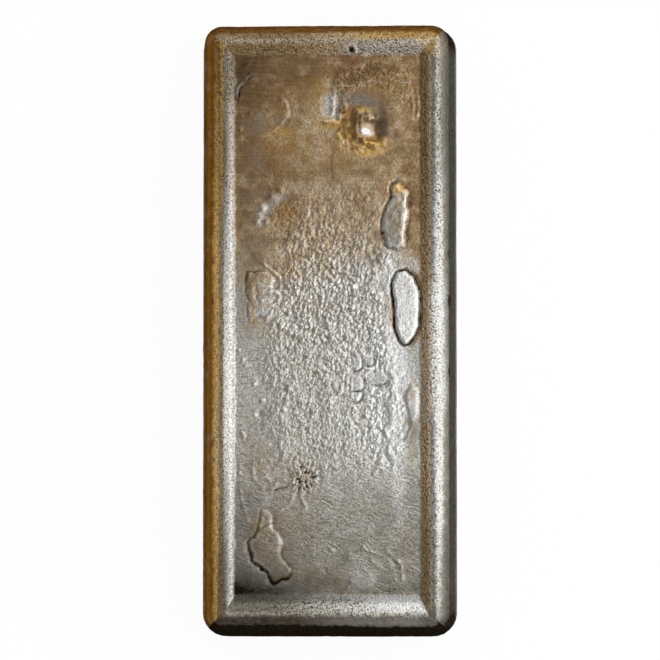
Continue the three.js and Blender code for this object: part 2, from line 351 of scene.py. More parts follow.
# Thin skins that lie on the pan without a fold: outline, height.
SKINS = [
    ([(-15.3, 48.9), (-17, 46.6), (-17.5, 43.5), (-17.2, 40), (-16, 37.2), (-12.9, 36.6),
      (-10.2, 38), (-8.2, 40), (-7.4, 42.5), (-7.8, 45.4), (-9.2, 48.2), (-12, 49.2)], 0.05),
    ([(16.3, -11.2), (17.5, -12), (17.5, -16), (16.7, -18.4), (15.7, -15.8), (15.3, -13)], 0.15),
    ([(5.2, -47.6), (8.6, -47.2), (9, -49.2), (6, -49.8), (4.6, -48.8)], 0.08),
    ([(10.6, 14.9), (12, 15.2), (11.9, 12.6), (10.8, 12.2)], 0.1),
]

# Smooth chips that stand proud of the pebbles, with a dark crack on their right and lower sides.
CHIPS = [
    [(7.8, -8.8), (10.3, -8.4), (11.6, -9.1), (11.6, -10.4), (9.9, -10.9), (8, -10.6)],
    [(5.1, -6.2), (6.6, -5.6), (6.9, -7.4), (5.4, -8.2)],
    [(7.2, -5.4), (8.9, -5), (9.3, -6.6), (8.2, -7.3)],
    [(5, -9.6), (6.8, -9.4), (7.2, -11.6), (4.9, -11.9)],
    [(5, -12.3), (6.8, -12.3), (6.6, -13.6), (5.6, -14.4)]]
CHIP_RISE = 0.14

# The rough field that froze as pebbles, and the two finer ones.
PEBBLES = [
    (-10, 24.8), (-5.1, 27.2), (3.6, 28.4), (9.6, 26.4), (10, 21), (9.2, 16.8), (12.2, 13),
    (11, 9), (11.2, 1), (12.6, -4), (14, -10.1), (14.5, -21.7), (11.3, -27.1), (2.6, -28.2), (-6.1, -27.5),
    (-9.4, -21.7), (-10.6, -8.4), (-9.4, 5), (-7.6, 9), (-8, 14), (-8.4, 19)]
SCORCH = [
    (1, 41.8), (1.2, 45.3), (2.2, 48.4), (4.5, 50.2), (8.8, 51.2), (13.4, 50.4), (15.6, 48.6),
    (16.2, 45), (13.6, 43.6), (12, 46), (8.6, 47.2), (5.6, 46.2), (4.6, 43.6), (3, 40.6)]
PEBBLE_LEAN, FLOW_LEAN = 64, -14  # in degrees from +X
STAR_CENTRE = (-4.2, -28.8)
STAR_REACH = 4.8

# Seams and scars: a path, its height (a groove's is less than 0) and its half-width.
SEAMS = [
    # the loop round the burst and the double line beside it
    ([(1.2, 41.5), (1.3, 45.3), (2.2, 48.4), (4.5, 49.9), (8.8, 50.7), (13.4, 50), (15.6, 48.2),
      (16.4, 45.5), (16.7, 41.8)], 0.12, 0.28),
    ([(15.9, 49.2), (17, 46.8), (17.6, 44.1), (17.7, 40.4)], 0.11, 0.24),
    ([(16.4, 48.2), (17.2, 45.6), (17.3, 42)], -0.08, 0.2),
    ([(12.4, 41.6), (15.8, 41.5)], -0.07, 0.2),
    # the left-hand skin's double edge and its crescent
    ([(-15.2, 48.9), (-16.5, 47.2), (-17.3, 45.7), (-17.5, 43.9)], 0.22, 0.2),
    ([(-14.7, 48.5), (-16, 46.9), (-16.9, 45.4), (-17, 43.7)], -0.12, 0.2),
    ([(-15.4, 48.7), (-12.9, 48.3)], 0.07, 0.25),
    ([(-8.7, 45.1), (-7.5, 42.8), (-7.9, 40.3), (-9.9, 38.2), (-12.4, 37.2)], 0.045, 0.3),
    ([(-7.9, 45), (-6.9, 42.6), (-7.3, 40.1), (-8.9, 38.2)], -0.05, 0.22),
    # curl and nicks of the left lap
    ([(-12.4, 5.3), (-11.2, 6.5), (-9.9, 6.9), (-8.9, 6.3), (-9.6, 5.1), (-10.5, 4), (-10.9, 2.4),
      (-11.5, 1.5)], 0.24, 0.24),
    ([(-13.5, 7.9), (-13.7, 6.4), (-13.2, 5.2)], -0.14, 0.2),
    ([(-15.1, 10.7), (-15.3, 8.2), (-15.1, 5), (-14.6, 1.4)], 0.1, 0.3),
    ([(-13.4, 10.7), (-10.9, 10.5)], 0.09, 0.2),
    ([(-12.4, 12.8), (-11, 11.6), (-9.8, 10.6), (-9, 9.6)], 0.18, 0.2),
    ([(-11.6, 12.6), (-10.2, 11.4), (-8.9, 10.2)], -0.14, 0.2),
    ([(-12, 6.6), (-11, 7.4), (-9.6, 7.7), (-8, 7.6), (-6.4, 7.8)], -0.14, 0.2),
    # the long seam down the left of the pebbles
    ([(-8.7, 1.8), (-8.8, -6.3), (-8.5, -15.9), (-8.7, -25.1)], 0.13, 0.17),
    ([(-8.2, -13.8), (-8, -19.5), (-8.2, -25.5)], 0.11, 0.16),
    ([(-9.1, -18.6), (-8, -19.5), (-6.4, -21)], -0.1, 0.2),
    # wriggle, dimple and the ring marks under it
    ([(-10.2, -3.8), (-10.5, -5.6), (-9.4, -7.6), (-9.9, -9.4)], 0.07, 0.2),
    ([(-14.2, -17.1), (-12.8, -17.9), (-11.4, -17.4)], -0.12, 0.25),
    ([(-14, -23), (-12.8, -22.2), (-11, -22.4)], 0.1, 0.2),
    ([(-13.8, -25), (-14.2, -27.6), (-13.2, -29.8), (-11.2, -31), (-9.6, -30.2)], 0.11, 0.2),
    ([(-12.8, -25.6), (-11.4, -25), (-10.5, -25.8)], 0.1, 0.2),
    ([(-12.6, -29.2), (-11.8, -28.6), (-10.8, -29.4)], 0.1, 0.2),
    ([(-16.6, -26), (-16.7, -30.2), (-16, -33.8), (-15, -37.4)], 0.08, 0.2),
    ([(-16.2, -20), (-15.9, -21.2)], 0.14, 0.25),
    # arms of the star
    ([(-6.5, -32), (-7, -33.8), (-8.4, -35), (-10, -35.4)], 0.13, 0.22),
    ([(-5.2, -31.8), (-4.6, -33.2), (-3.9, -34.4)], 0.13, 0.24),
    ([(-9.9, -31.2), (-8.6, -31), (-7.6, -30.4)], -0.14, 0.18),
    ([(-3.8, -22.4), (-2.2, -22.2), (-1.2, -23.8)], -0.1, 0.22),
    # scars on the right, and folds near the lower end
    ([(16.6, -18.6), (15.9, -20.2), (15.5, -21.6)], 0.16, 0.16),
    ([(11.3, -24.4), (12.4, -26.4)], -0.16, 0.22),
    ([(11.5, -42.7), (12.8, -44), (13.8, -44.8), (14.4, -46.3), (14.6, -48.6)], 0.14, 0.24),
    ([(11.9, -43.6), (13, -45), (13.4, -46.8)], -0.08, 0.24),
    ([(6.8, -42.4), (9, -43), (10.4, -43.6)], 0.13, 0.24),
    ([(8.4, -44.6), (10.2, -45.6)], 0.12, 0.24),
    ([(4.6, -50), (7.4, -51), (11.3, -50.6), (14.5, -50.2), (17.2, -50.6)], -0.13, 0.24),
    ([(0.4, -42), (1.2, -42.9)], 0.18, 0.25),
    ([(-3, -47.9), (1, -49.2), (4.4, -49.8)], 0.05, 0.3),
    # ribbed tick beside the upper lap, and scratches on the right-hand slope
    ([(19, 28.2), (19.9, 29)], 0.2, 0.22),
    ([(19.5, 15.4), (20.8, 16.9)], 0.2, 0.22),
    ([(21, 13.6), (21.8, 15.1)], 0.2, 0.22),
]

# Broad low swell left of the pale smear.
SWELL = [(11.6, 0.5), (12.2, -5), (12.4, -10), (12.8, -17), (12.8, -24)]

# Blow-hole. Its burst: where the smooth ramp on the left starts and ends, where the far wall ends, the
# middle and half-length along the bar, and the depth. Then bowls (centre, half-width across and along,
# depth) and torn lumps round them (the same, with a height).
BURST = dict(ramp=(6.3, 9.3), far_wall=11.8, middle=38.2, half=2.7, depth=0.95)
BOWLS = [((4.2, 39.3), (1.7, 2), 0.6), ((5.6, 36.6), (1.5, 1.3), 0.3)]
TORN = ((6.4, 38.2), (5.4, 5))  # centre and reach of the torn metal
LUMPS = [((5.9, 38.9), (0.6, 2.2), 0.35), ((6.6, 41.9), (1.5, 0.8), 0.4), ((9.2, 35.4), (1.6, 1.1), 0.5),
         ((7.4, 36.2), (0.7, 0.9), 0.45), ((10.9, 36.2), (0.8, 1.1), 0.35), ((2.6, 37.4), (0.7, 1.2), 0.3),
         ((2.6, 40.8), (0.6, 1.1), 0.25), ((0.8, 39.7), (2.2, 0.6), 0.28), ((8.3, 40.4), (0.9, 0.7), 0.4)]
BURST_LIP = [(2.2, 37), (3.6, 35.1), (4.9, 34.1), (7.4, 33.8), (10.4, 34.2)]

# Knocks on the right-hand side: along the bar, below the crest, width, height, depth.
KNOCKS = [(5.5, 4.2, 3.6, 4.4, 0.35), (-8.4, 3.2, 2.2, 2.4, 0.25), (14.5, 2.6, 2.2, 2, 0.2)]
PINHOLE = (4.9, 53.6)
PINHOLE_RADIUS = 0.62

# Pits (place, radius), drops (place, radius, height), and darker spots on the rim's corners (centre,
# half-width, half-length, amount).
PITS = [(-12.8, -16.6, 0.5), (6, 54.2, 0.35), (22.2, -8.6, 0.3), (21, -8, 0.25), (21.9, -14.2, 0.28),
        (21.4, -10.6, 0.22), (13.3, -55.2, 0.3), (2.9, -55.4, 0.25), (20.4, 26.9, 0.35), (-11, -41, 0.3)]
BLOBS = [(-12.4, 23.2, 0.6, 0.35), (-12.8, 21.6, 0.6, 0.4), (-13.4, 20.6, 0.5, 0.3),
         (-11.6, 20.6, 0.5, 0.25), (-10.4, 25.4, 0.7, 0.25), (-9, 26.6, 0.5, 0.2),
         (-13.8, -10.7, 0.4, 0.2), (-12.4, -14, 0.35, 0.15), (-14.6, 41.6, 0.35, 0.15),
         (-16.4, 41.2, 0.35, 0.2), (-16.6, 38.6, 0.35, 0.2), (-8.5, 44.2, 0.6, 0.15),
         (-9.8, 10.6, 0.5, 0.22), (-16.2, -6, 0.35, 0.18), (-15.6, -7.2, 0.3, 0.16),
         (-17, -4.4, 0.3, 0.15)]
RIM_DARK_SPOTS = [(23.8, 56.9, 2.2, 2.2, 0.25), (21.8, -55.4, 2.8, 2.8, 0.1), (21.6, -56.2, 1.3, 1.3, 0.12),
            (19.4, -55.9, 1.2, 1.2, 0.16), (10.3, -54.4, 3, 1.3, 0.15)]


def inside_of(x, y, outline):
    """How far inside a smooth outline each point is; less than 0 outside it."""
    return distance(x, y, smooth_path(outline, closed=True, steps=3), closed=True)


def patch(x, y, outline, edge=0.5):
    """1 inside a smooth outline and 0 outside it, changing over this distance on either side."""
    return ease(inside_of(x, y, outline), -edge, edge)


def stroke(x, y, path, width):
    """1 along a smooth path, fading over this distance beside it."""
    return hump(distance(x, y, smooth_path(path, steps=4)), width)


def spot(x, y, cx, cy, wide, tall=None):
    """1 at a place, falling off smoothly over these distances across and along the bar."""
    return hump(np.hypot((x - cx) / wide, (y - cy) / (tall or wide)), 1.0)


def round_spot(x, y, centre, half):
    """1 at the centre of an ellipse and 0 from its rim outwards."""
    return ease(np.hypot((x - centre[0]) / half[0], (y - centre[1]) / half[1]), 1.0, 0.35)


def on_chips(x, y):
    """1 on the chips and 0 beside them."""
    return sum(patch(x, y, shape, 0.2) for shape in CHIPS)


def chip_cracks(x, y):
    """1 along the cracks on the right-hand and lower sides of the chips."""
    total = np.zeros(len(x))
    for shape in CHIPS:
        cx, cy = np.mean(shape, axis=0)
        total += hump(inside_of(x, y, shape) + 0.12, 0.2) * ease((x - cx) - (y - cy), -0.2, 0.9)
    return total


def flat_points(x, y):
    return np.column_stack([x, y, np.zeros(len(x))])


def lap_distance(name, x, y):
    """How far inside a lap's ragged outline each point is."""
    cx, cy = LAPS[name]["centre"]
    ragged = LAPS[name]["ragged"] * turbulence(flat_points(x, y), 1.5, 35, 3, 0.6)
    return inside_of(x - cx, y - cy, LAPS[name]["outline"]) + ragged


def lap_opening(name, x, y):
    """How open the fold round a lap is: 1 on the side that it opens to, and everywhere if it has none."""
    towards = np.array(LAPS[name]["opens"], float)
    if not towards.any():
        return np.ones(len(x))
    away = np.column_stack([x, y]) - LAPS[name]["centre"]
    facing = away @ towards / (np.linalg.norm(towards) * np.maximum(np.linalg.norm(away, axis=1), 0.5))
    return 0.25 + 0.75 * ease(facing, -0.1, 0.6)


def lap_relief(name, x, y):
    """A tongue that stands proud inside a narrow fold and rolls down on its right-hand side."""
    lap = LAPS[name]
    inside = lap_distance(name, x, y)
    on_right = ease(x - lap["centre"][0], -0.2, 1.0)
    reach = lap["roll"] * (1 + 0.5 * noise(flat_points(x, y), 1.8, 33))
    roll = on_right * ease(reach - inside, 0.0, lap["roll"])
    plate = lap["height"] * ease(inside, -0.05, 0.3) * (1 - 0.75 * roll)
    return plate - lap["fold"] * lap_opening(name, x, y) * hump(inside + 0.2, FOLD_WIDTH)


def hole_relief(points, x, y):
    """The burst, with its smooth ramp, and the torn metal round it."""
    start, end = BURST["ramp"]
    ramp = np.clip((x - start) / (end - start), 0, 1) * ease(x, BURST["far_wall"], end + 0.2)
    burst = ramp * ease(np.abs(y - BURST["middle"]), BURST["half"], 0.5 * BURST["half"])
    height = sum(rise * round_spot(x, y, centre, half) for centre, half, rise in LUMPS)
    height -= sum(depth * round_spot(x, y, centre, half) for centre, half, depth in BOWLS)
    (cx, cy), (wide, tall) = TORN
    torn = ease(np.hypot((x - cx) / wide, (y - cy) / tall), 1.0, 0.6)
    torn *= (1 - 0.85 * ease(burst, 0.05, 0.3)) * (1 - 0.85 * round_spot(x, y, *BOWLS[0][:2]))
    height += 0.35 * torn * turbulence(points, 1.2, 22, 3, 0.65) + 0.08 * stroke(x, y, BURST_LIP, 0.55)
    return height - BURST["depth"] * burst


def star_relief(x, y):
    """Short ridges that run out from the star's centre."""
    dx, dy = x - STAR_CENTRE[0], y - STAR_CENTRE[1]
    reach = np.hypot(dx, dy)
    turn = np.arctan2(dy, dx)
    spokes = np.column_stack([np.cos(turn) * 2.6, np.sin(turn) * 2.6, reach * 0.5])
    rays = np.tanh(2.0 * turbulence(spokes, 0.5, 31, 2, 0.6))
    return 0.16 * rays * ease(reach, STAR_REACH, STAR_REACH * 0.3) * ease(reach, 0.2, 1.2)


def packed_lumps(x, y, seed):
    """Lumps about one unit across, packed at random: 1 on their tops and 0 where they meet."""
    jitter = np.random.default_rng(seed).random((JITTER_SIZE, JITTER_SIZE, 2))
    column, row = np.floor(x).astype(int), np.floor(y).astype(int)
    first, second = np.full(len(x), 9.0), np.full(len(x), 9.0)
    for i, j in np.ndindex(3, 3):
        shift = jitter[(column + i - 1) % JITTER_SIZE, (row + j - 1) % JITTER_SIZE]
        away = np.hypot(column + i - 1 + shift[:, 0] - x, row + j - 1 + shift[:, 1] - y)
        second = np.minimum(second, np.maximum(first, away))
        first = np.minimum(first, away)
    return np.sqrt(np.clip((second - first) / 0.6, 0, 1))


def pebble_share(points):
    """How strongly the skin froze as pebbles: 1 in the middle of their field."""
    x, y = points[:, 0] + 0.9 * noise(points, 2.2, 16), points[:, 1]
    clumps = np.clip(0.8 + 0.9 * noise(points, 2.6, 17), 0, 1)
    fade = 1 - 0.7 * ease(y, 12.0, 24.0) - 0.25 * ease(y, 2.0, -10.0) - 0.35 * ease(y, -16.0, -26.0)
    return patch(x, y, PEBBLES, 3.2) * clumps * fade


def pebble_relief(points, x, y):
    """Pebbles that lean to the right, larger in the middle of the field and finer at its lower end."""
    lean = math.radians(PEBBLE_LEAN)
    along = x * math.cos(lean) + y * math.sin(lean)
    across = x * math.sin(lean) - y * math.cos(lean)
    swell = noise(points, 4.0, 13)
    in_field = patch(x + 0.9 * swell, y, PEBBLES, 3.2) * np.clip(0.85 + 0.8 * noise(points, 2.6, 17), 0.1, 1)
    low, high = ease(y, 3.0, -12.0), ease(y, 14.0, 26.0)
    shoved = across / 0.9 + 0.35 * noise(points, 1.3, 14), along / 1.3 + 0.35 * noise(points, 1.6, 18)
    pebble = packed_lumps(*shoved, 15)
    coarse = noise(flat_points(across / 1.3, along / 1.7), 1.0, 11)
    fine = noise(flat_points(across / 0.65, along / 0.8), 1.0, 12)
    size = (1.1 - 0.65 * high - 0.35 * low) * (1 + 0.5 * swell)
    lumps = 0.115 * (pebble - 0.6) * size + 0.1 * coarse * size + 0.07 * fine * (1 + 0.7 * low - 0.6 * high)
    return in_field * (lumps + 0.07 * swell * (1 - high))


def pan_relief(points):
    """Height to add to the pan and to the slopes round it."""
    x = points[:, 0] + 0.18 * turbulence(points, 1.3, 41, 2, 0.7)
    y = points[:, 1] + 0.18 * turbulence(points, 1.3, 44, 2, 0.7)
    height = 0.07 * noise(points, 10.0, 1) + 0.035 * noise(points, 3.6, 2)
    height += 0.007 * turbulence(points, 0.9, 3)
    height += pebble_relief(points, x, y) * (1 - 0.8 * on_chips(x, y))
    height += star_relief(x, y) + hole_relief(points, x, y)
    height += 0.11 * patch(x, y, SCORCH, 0.6) * turbulence(points, 0.62, 21, 2, 0.8)
    lumps = turbulence(points, 0.9, 34, 2, 0.7)
    for name, lap in LAPS.items():
        height += lap_relief(name, x, y) + lap["lumps"] * ease(lap_distance(name, x, y), 0.2, 0.8) * lumps
    tilt = 0.05 * (x - LAPS["middle"]["centre"][0])
    height -= tilt * ease(lap_distance("middle", x, y), 0.0, 0.4)
    for shape, rise in SKINS:
        height += rise * patch(x, y, shape, 0.22)
    height += CHIP_RISE * on_chips(x, y) - 0.2 * chip_cracks(x, y)
    broken = np.clip(0.75 + 1.3 * noise(points, 1.0, 43), 0, 1.5)
    for path, rise, width in SEAMS:
        height += rise * stroke(x, y, path, width) * broken
    height += 0.1 * stroke(x, y, SWELL, 1.6)
    for px, py, radius, rise in BLOBS:
        height += rise * spot(x, y, px, py, radius)
    return height


LEFT, RIGHT, BOTTOM, TOP = range(4)


def rim_side(points, normals):
    """The side of the bar that each point belongs to, and how far the skin leans outwards there, in
    degrees: 0 on the crest, 90 upright, less than 0 on the slope to the pan."""
    x, y, _ = points.T
    left, right, bottom, top = outline(0)
    inset = np.column_stack([x - left, right - x, y - bottom, top - y])
    outward = np.array([(-1, 0), (1, 0), (0, -1), (0, 1)])  # in the order LEFT, RIGHT, BOTTOM, TOP
    outside = inset.min(axis=1) < CREST_INSET
    facing = np.where(outside[:, None], 1, -1) * (normals[:, :2] @ outward.T)
    side = np.argmax(facing - 0.02 * inset, axis=1)
    lean = np.degrees(np.arccos(np.clip(normals[:, 2], -1, 1)))
    return side, np.where(outside, lean, -lean)


def rim_relief(points, normals):
    """Cast grain and knocks, outside the pan."""
    x, y, z = points.T
    height = 0.06 * noise(points, 7.0, 61) + 0.05 * noise(points, 2.2, 64)
    height += 0.02 * turbulence(points, 1.4, 62, 2) + 0.05 * noise(points, 0.6, 63)
    for along, below, width, tall, depth in KNOCKS:
        away = np.hypot((y - along) / (width / 2), (HEIGHT - z - below) / (tall / 2))
        height -= depth * ease(away, 1.0, 0.2) * (x > 0) * ease(normals[:, 0], 0.1, 0.4)
    return height


def relief(points, normals):
    """How far each point of the skin moves out along its normal."""
    x, y, z = points.T
    up = ease(normals[:, 2], 0.5, 0.8)
    level = up * ease(np.abs(z - PAN_Z), 0.9, 0.2)
    height = level * pan_relief(points) + (1 - level) * rim_relief(points, normals)
    pin = np.hypot(x - PINHOLE[0], y - PINHOLE[1])
    height += up * (0.12 * hump(pin - 0.9, 0.35) - 0.9 * ease(pin, PINHOLE_RADIUS, 0.2))
    for px, py, radius in PITS:
        height -= up * 0.8 * radius * spot(x, y, px, py, radius)
    height = np.where(normals[:, 2] < 0, height, height * ease(z, 0.2, 2.0))
    inset = np.minimum(WIDTH / 2 - np.abs(x), LENGTH / 2 - np.abs(y))
    dish = 0.05 * np.sin(2.1 * inset + 1.6 * noise(points, 9.0, 71)) + 0.06 * noise(points, 2.0, 72)
    underneath = ease(normals[:, 2], -0.5, -0.9)
    return np.where(underneath > 0, underneath * ease(inset, 5.0, 8.0) * dish, height)


def recess(heights):
    """How far each point of the pan's grid lies below its neighbourhood's mean height."""
    rows, columns = PAN_CELLS[1] + 1, PAN_CELLS[0] + 1
    field = heights[:rows * columns].reshape(rows, columns)
    padded = np.pad(field, RECESS_REACH, mode="edge")
    count = 2 * RECESS_REACH + 1
    mean = sum(padded[i:i + rows, j:j + columns] for i, j in np.ndindex(count, count)) / count ** 2
    below = np.zeros(len(heights))
    below[:rows * columns] = (mean - field).ravel()
    return below


# ---- Tarnish, wear and painted light: 0 to 1 at every point of the skin, for the material to mix its colours by ----

# The layers that the pan and the rim both have, and the shares of the skin that some textures keep to.
WEAR_AND_PAINTED_LIGHT = ("tarnish_and_painted_reflection", "grime_and_painted_shade", "gold_and_painted_reflection", "polish_and_painted_highlight", "soot_and_painted_shade", "brown_and_painted_reflection", "grain")
SHARES = ("pan", "pebbles", "lines", "flow", "frost")
MOST_SOOT_AND_SHADE = 1.3  # soot and painted shade alone may go past 1, so that noise leaves it whole

# Along the bar, from its lower end: how brown the pan's tarnish is, and how grey its grime, which towards the
# lower end is also painted shade where the light falls off.
TARNISH_ALONG = ([-52, -46, -34, -20, 0, 8, 18, 27, 34, 46, 52],
                 [0.25, 0.1, 0.05, 0.03, 0.04, 0.14, 0.42, 0.62, 0.75, 0.9, 1])
GRIME_AND_SHADE_ALONG = ([-52, -42, -35, -29, -22, 0, 12, 24], [0.9, 0.75, 0.6, 0.4, 0.1, 0, 0.05, 0.05])

# Soft spots where a layer is heavier or lighter: centre, half-width, half-length, amount.
TARNISH_SPOTS = [
    (-5, 45, 3.5, 5, -0.12), (14, 46.6, 3, 3, -0.25), (-7, 38.5, 4, 4, -0.08),
    (1, 35, 4, 2.5, -0.1), (16.2, 22, 2.4, 10, 0.4), (16.6, -17, 1.4, 8, 0.2),
    (-14, 24, 6, 14, 0.3), (-14, 40, 6, 9, 0.35), (-11.5, 28.5, 3.5, 5, 0.15),
    (-1.5, 40.5, 3, 6, -0.25), (0.8, 43, 2, 2.2, -0.5), (7, 43.8, 2.4, 1.3, -0.35),
    (-8, 22.2, 3, 2, 0.4), (-5.8, 24.6, 1.8, 1.4, 0.45), (14, 38, 5, 9, -0.02),
    (13.5, 34.5, 4.5, 3.5, -0.15), (13, 14.6, 2.4, 2.8, -0.3), (8.5, 39.5, 3.6, 4.6, 0.25),
    (7.5, 45.5, 5.5, 3.5, 0.2), (-13.5, 11, 5, 7, 0.16), (-7.5, 14, 3, 5, 0.15),
    (12.5, 22, 2, 5.5, 0.15), (13.6, 27, 1.6, 1.4, 0.4), (-12.2, 0, 2.6, 1.6, 0.15),
    (-13.5, -27.5, 2, 3, 0.15), (-8.5, -30.5, 4, 2.5, 0.14), (-9, -36, 7, 3, 0.25),
    (-6.5, -42, 3, 5, 0.15), (-12.8, -24, 4, 6, 0.12), (-12, -49, 6, 2.6, 0.4),
    (-1, -47.5, 5, 2.6, 0.28), (3, -50, 4, 1.5, 0.3), (16, -43, 2.5, 7, 0.1),
    (-5, -44, 4, 4, 0.12), (-14, 51, 7, 1.6, 0.2)]
GOLD_SPOTS = [
    (-9.2, 38, 1.8, 0.9, 0.7), (-7.6, 22.4, 2.2, 1.9, 0.5), (4.2, 39.2, 1.2, 1.7, 0.45),
    (6.8, 42, 2.4, 0.7, 0.8), (3.6, 35.6, 1, 1.4, 0.7), (7, 34.6, 2.4, 0.7, 0.6),
    (9.6, 35.4, 1.4, 1.4, 0.5), (0.4, 39.3, 2.6, 0.8, 0.9), (7.8, 40.6, 1.4, 1.2, 0.3),
    (-1.4, 44.5, 2, 4, 0.45), (13.2, 27.2, 1.4, 1.4, 0.5), (-12.6, -38.2, 1.2, 2, 0.5),
    (-12.8, -43, 1.6, 2.6, 0.25), (-8, 36.6, 5, 2, 0.2), (12.5, 46.6, 4, 2.6, 0.35),
    (15.6, 38, 3, 7, 0.06), (2, 34, 9, 5, 0.25), (-6.5, 45.5, 3, 4, 0.2)]
GREY_SPOTS = [
    (12.5, 36, 6, 8, 0.06), (-5, 18.4, 3, 3, 0.2), (-12, 39.6, 3.6, 2.6, 0.3),
    (-14, 30, 2.6, 6, 0.2), (-13.4, 17, 2.4, 5, 0.25), (-9.6, 24.6, 4.6, 1.4, 0.3)]
PLAIN_SPOTS = {
    # the second bright spot is a painted reflection of the lamps on the blow-hole's facet that faces them
    "polish_and_painted_highlight": [(-12.5, 3, 1.5, 0.9, 0.8), (7.6, 38.1, 1.1, 0.65, 1.6)],
    "gold_and_painted_reflection": [(4.3, 39.3, 1.5, 1.8, 0.45), (9.2, 35.6, 2.2, 1.5, 0.9)],
    "brown_and_painted_reflection": [(-7.4, 22.6, 2.6, 2.4, 0.35)],
    "grime_and_painted_shade": [(6.6, 43.8, 3, 1.6, 0.6)],
    "soot_and_painted_shade": [(6.6, 43.8, 3, 1.6, 0.05), (8, 16, 5, 10, 0.2), (16.6, -19.5, 1, 4.5, 0.5),
             (-1, 30, 9, 7, 0.15), (1, -48, 5, 3, 0.12), (-13, -24, 4, 7, 0.08),
             (-7, -38.5, 5, 4, 0.12)]}

# Bright patches of paler metal, and on the right of the pan a painted sheen of the lamps: outline, softness
# of the edge, amount.
BARE_BY_HOLE = [(-0.4, 45.2), (2.8, 45), (2.6, 40.8), (0.2, 41)]
WHITE_SMEAR = [(11.6, -1), (14.6, -1.8), (16.2, -5), (16.4, -10), (15, -12), (14.6, -18),
               (14, -23), (12.8, -25), (11.4, -21), (11.6, -15), (11.8, -8)]
PALE_AND_SHEEN_PATCHES = [
    (WHITE_SMEAR, 0.8, 1), (BARE_BY_HOLE, 0.7, 0.5),
    ([(12.4, -12), (15, -14), (15.4, -30), (14, -38), (12.6, -32)], 1.2, 0.5),
    ([(8.6, -1), (12.4, -1), (12.4, -16), (8.6, -16)], 1, 0.6),
    ([(12.6, -2), (14.4, -2.4), (14.8, -16), (12.8, -16)], 0.8, 0.7),
    ([(9.5, -14), (14.2, -14), (14, -27), (10.8, -25)], 1, 0.35),
    ([(8.6, -11.6), (12, -12), (12.4, -18), (10.6, -20.4), (8.6, -17)], 0.9, 0.5),
    ([(16.9, -13), (17.5, -13.6), (17.4, -17), (16.6, -18), (15.8, -15.6)], 0.3, 1),
    ([(11.2, 13.2), (13.2, 12.4), (13.6, 9.6), (11.8, 6.4), (10.8, 8.6)], 0.6, 0.8),
    ([(14.6, 13.4), (17.4, 13.2), (17.2, 10.6), (14.6, 11.2)], 0.6, 0.5),
    ([(-13.6, 23.6), (-12, 24.2), (-8, 26.6), (-7.6, 25.4), (-11, 22.2), (-11.2, 20.2),
      (-13.6, 20)], 0.7, 0.4),
    ([(4.8, -46.6), (8.8, -46.4), (9, -49.6), (5, -50.2)], 0.8, 0.35),
    ([(7, -22), (12, -24), (13, -31), (4, -32), (-1, -29)], 3, 0.2),
    ([(3, 8), (9, 12), (14.5, 6), (14.5, -14), (12, -24), (2, -22)], 2.4, 0.45)]

# Lines of wear and painted light: layer, amount, half-width, path. The patchy ones come and go along their
# way. Where they follow seams, light lines are painted highlights on the ridges and dark lines painted shade
# in the grooves and crevices.
# a painted shade along the smooth dip that curves round the blow-hole's upper right-hand side
DARK_ARC = [(4.4, 44.4), (7.2, 44.2), (9.6, 42.9), (10.8, 40.4), (11.2, 37.6)]
DARK_ARC_WIDTH = 1.4
LINES = [
    ("tarnish_and_painted_reflection", 0.6, 0.35, [(-15, 10.9), (-14.9, 8.2), (-14.6, 5), (-14.2, 1.4)]),
    ("gold_and_painted_reflection", 0.55, 0.3, [(-14.8, 10.4), (-14.6, 8.2), (-14.4, 5), (-14, 1.6)]),
    ("brown_and_painted_reflection", 0.5, 0.3, [(-15, 11.2), (-14.9, 9.2), (-14.8, 7.2)]),
    ("soot_and_painted_shade", 0.1, DARK_ARC_WIDTH, DARK_ARC), ("grime_and_painted_shade", 0.35, DARK_ARC_WIDTH, DARK_ARC),
    ("soot_and_painted_shade", 0.7, 0.22, [(6.4, 40.9), (6.6, 39.4), (6.4, 37.4)]),
    ("brown_and_painted_reflection", 0.5, 0.5, [(3.6, 41.4), (5.2, 42.2), (7, 42.4), (8.4, 41.6)]),
    ("gold_and_painted_reflection", 1.2, 0.6, BURST_LIP),
    ("polish_and_painted_highlight", 0.5, 0.28, [(-8.8, -4.2), (-8.7, -14), (-8.6, -24.6)]),
    ("soot_and_painted_shade", 0.25, 0.28, [(-8.4, -4.2), (-8.3, -14), (-8.2, -24.6)]),
    ("soot_and_painted_shade", 0.45, 0.16, [(1, 36.6), (1.1, 32.5), (1.2, 28.8)]),
    ("soot_and_painted_shade", 0.8, 0.2, [(-9.9, -31.2), (-8.6, -31), (-7.8, -30.6)])]
PATCHY_LINES = [
    ("soot_and_painted_shade", 0.25, 0.9, [(3.4, 50), (1.9, 48), (1.9, 45.4), (2.7, 43), (3.4, 41.8)]),
    ("brown_and_painted_reflection", 0.5, 0.9, [(3.4, 50), (6, 51), (10, 51.2), (13.6, 50.4), (15.4, 48.6)]),
    ("polish_and_painted_highlight", 0.35, 0.5, BURST_LIP),
    ("polish_and_painted_highlight", 1, 0.3, [(-15.2, 48.9), (-16.5, 47.2), (-17.3, 45.7), (-17.5, 43.9)]),
    ("polish_and_painted_highlight", 0.3, 0.3, [(-8.7, 45.1), (-7.5, 42.8), (-7.9, 40.3), (-9.9, 38.2)]),
    ("soot_and_painted_shade", 0.4, 0.25, [(-10.6, 47.4), (-8.4, 45.6), (-7, 42.9), (-7.4, 40.1), (-9.7, 37.7)]),
    ("soot_and_painted_shade", 0.35, 0.25, [(-14.8, 49.5), (-16, 47.5), (-16.8, 45.8), (-17, 43.8)])]


def spots(x, y, table):
    """Soft spots added together."""
    return sum(amount * spot(x, y, cx, cy, wide, tall) for cx, cy, wide, tall, amount in table)


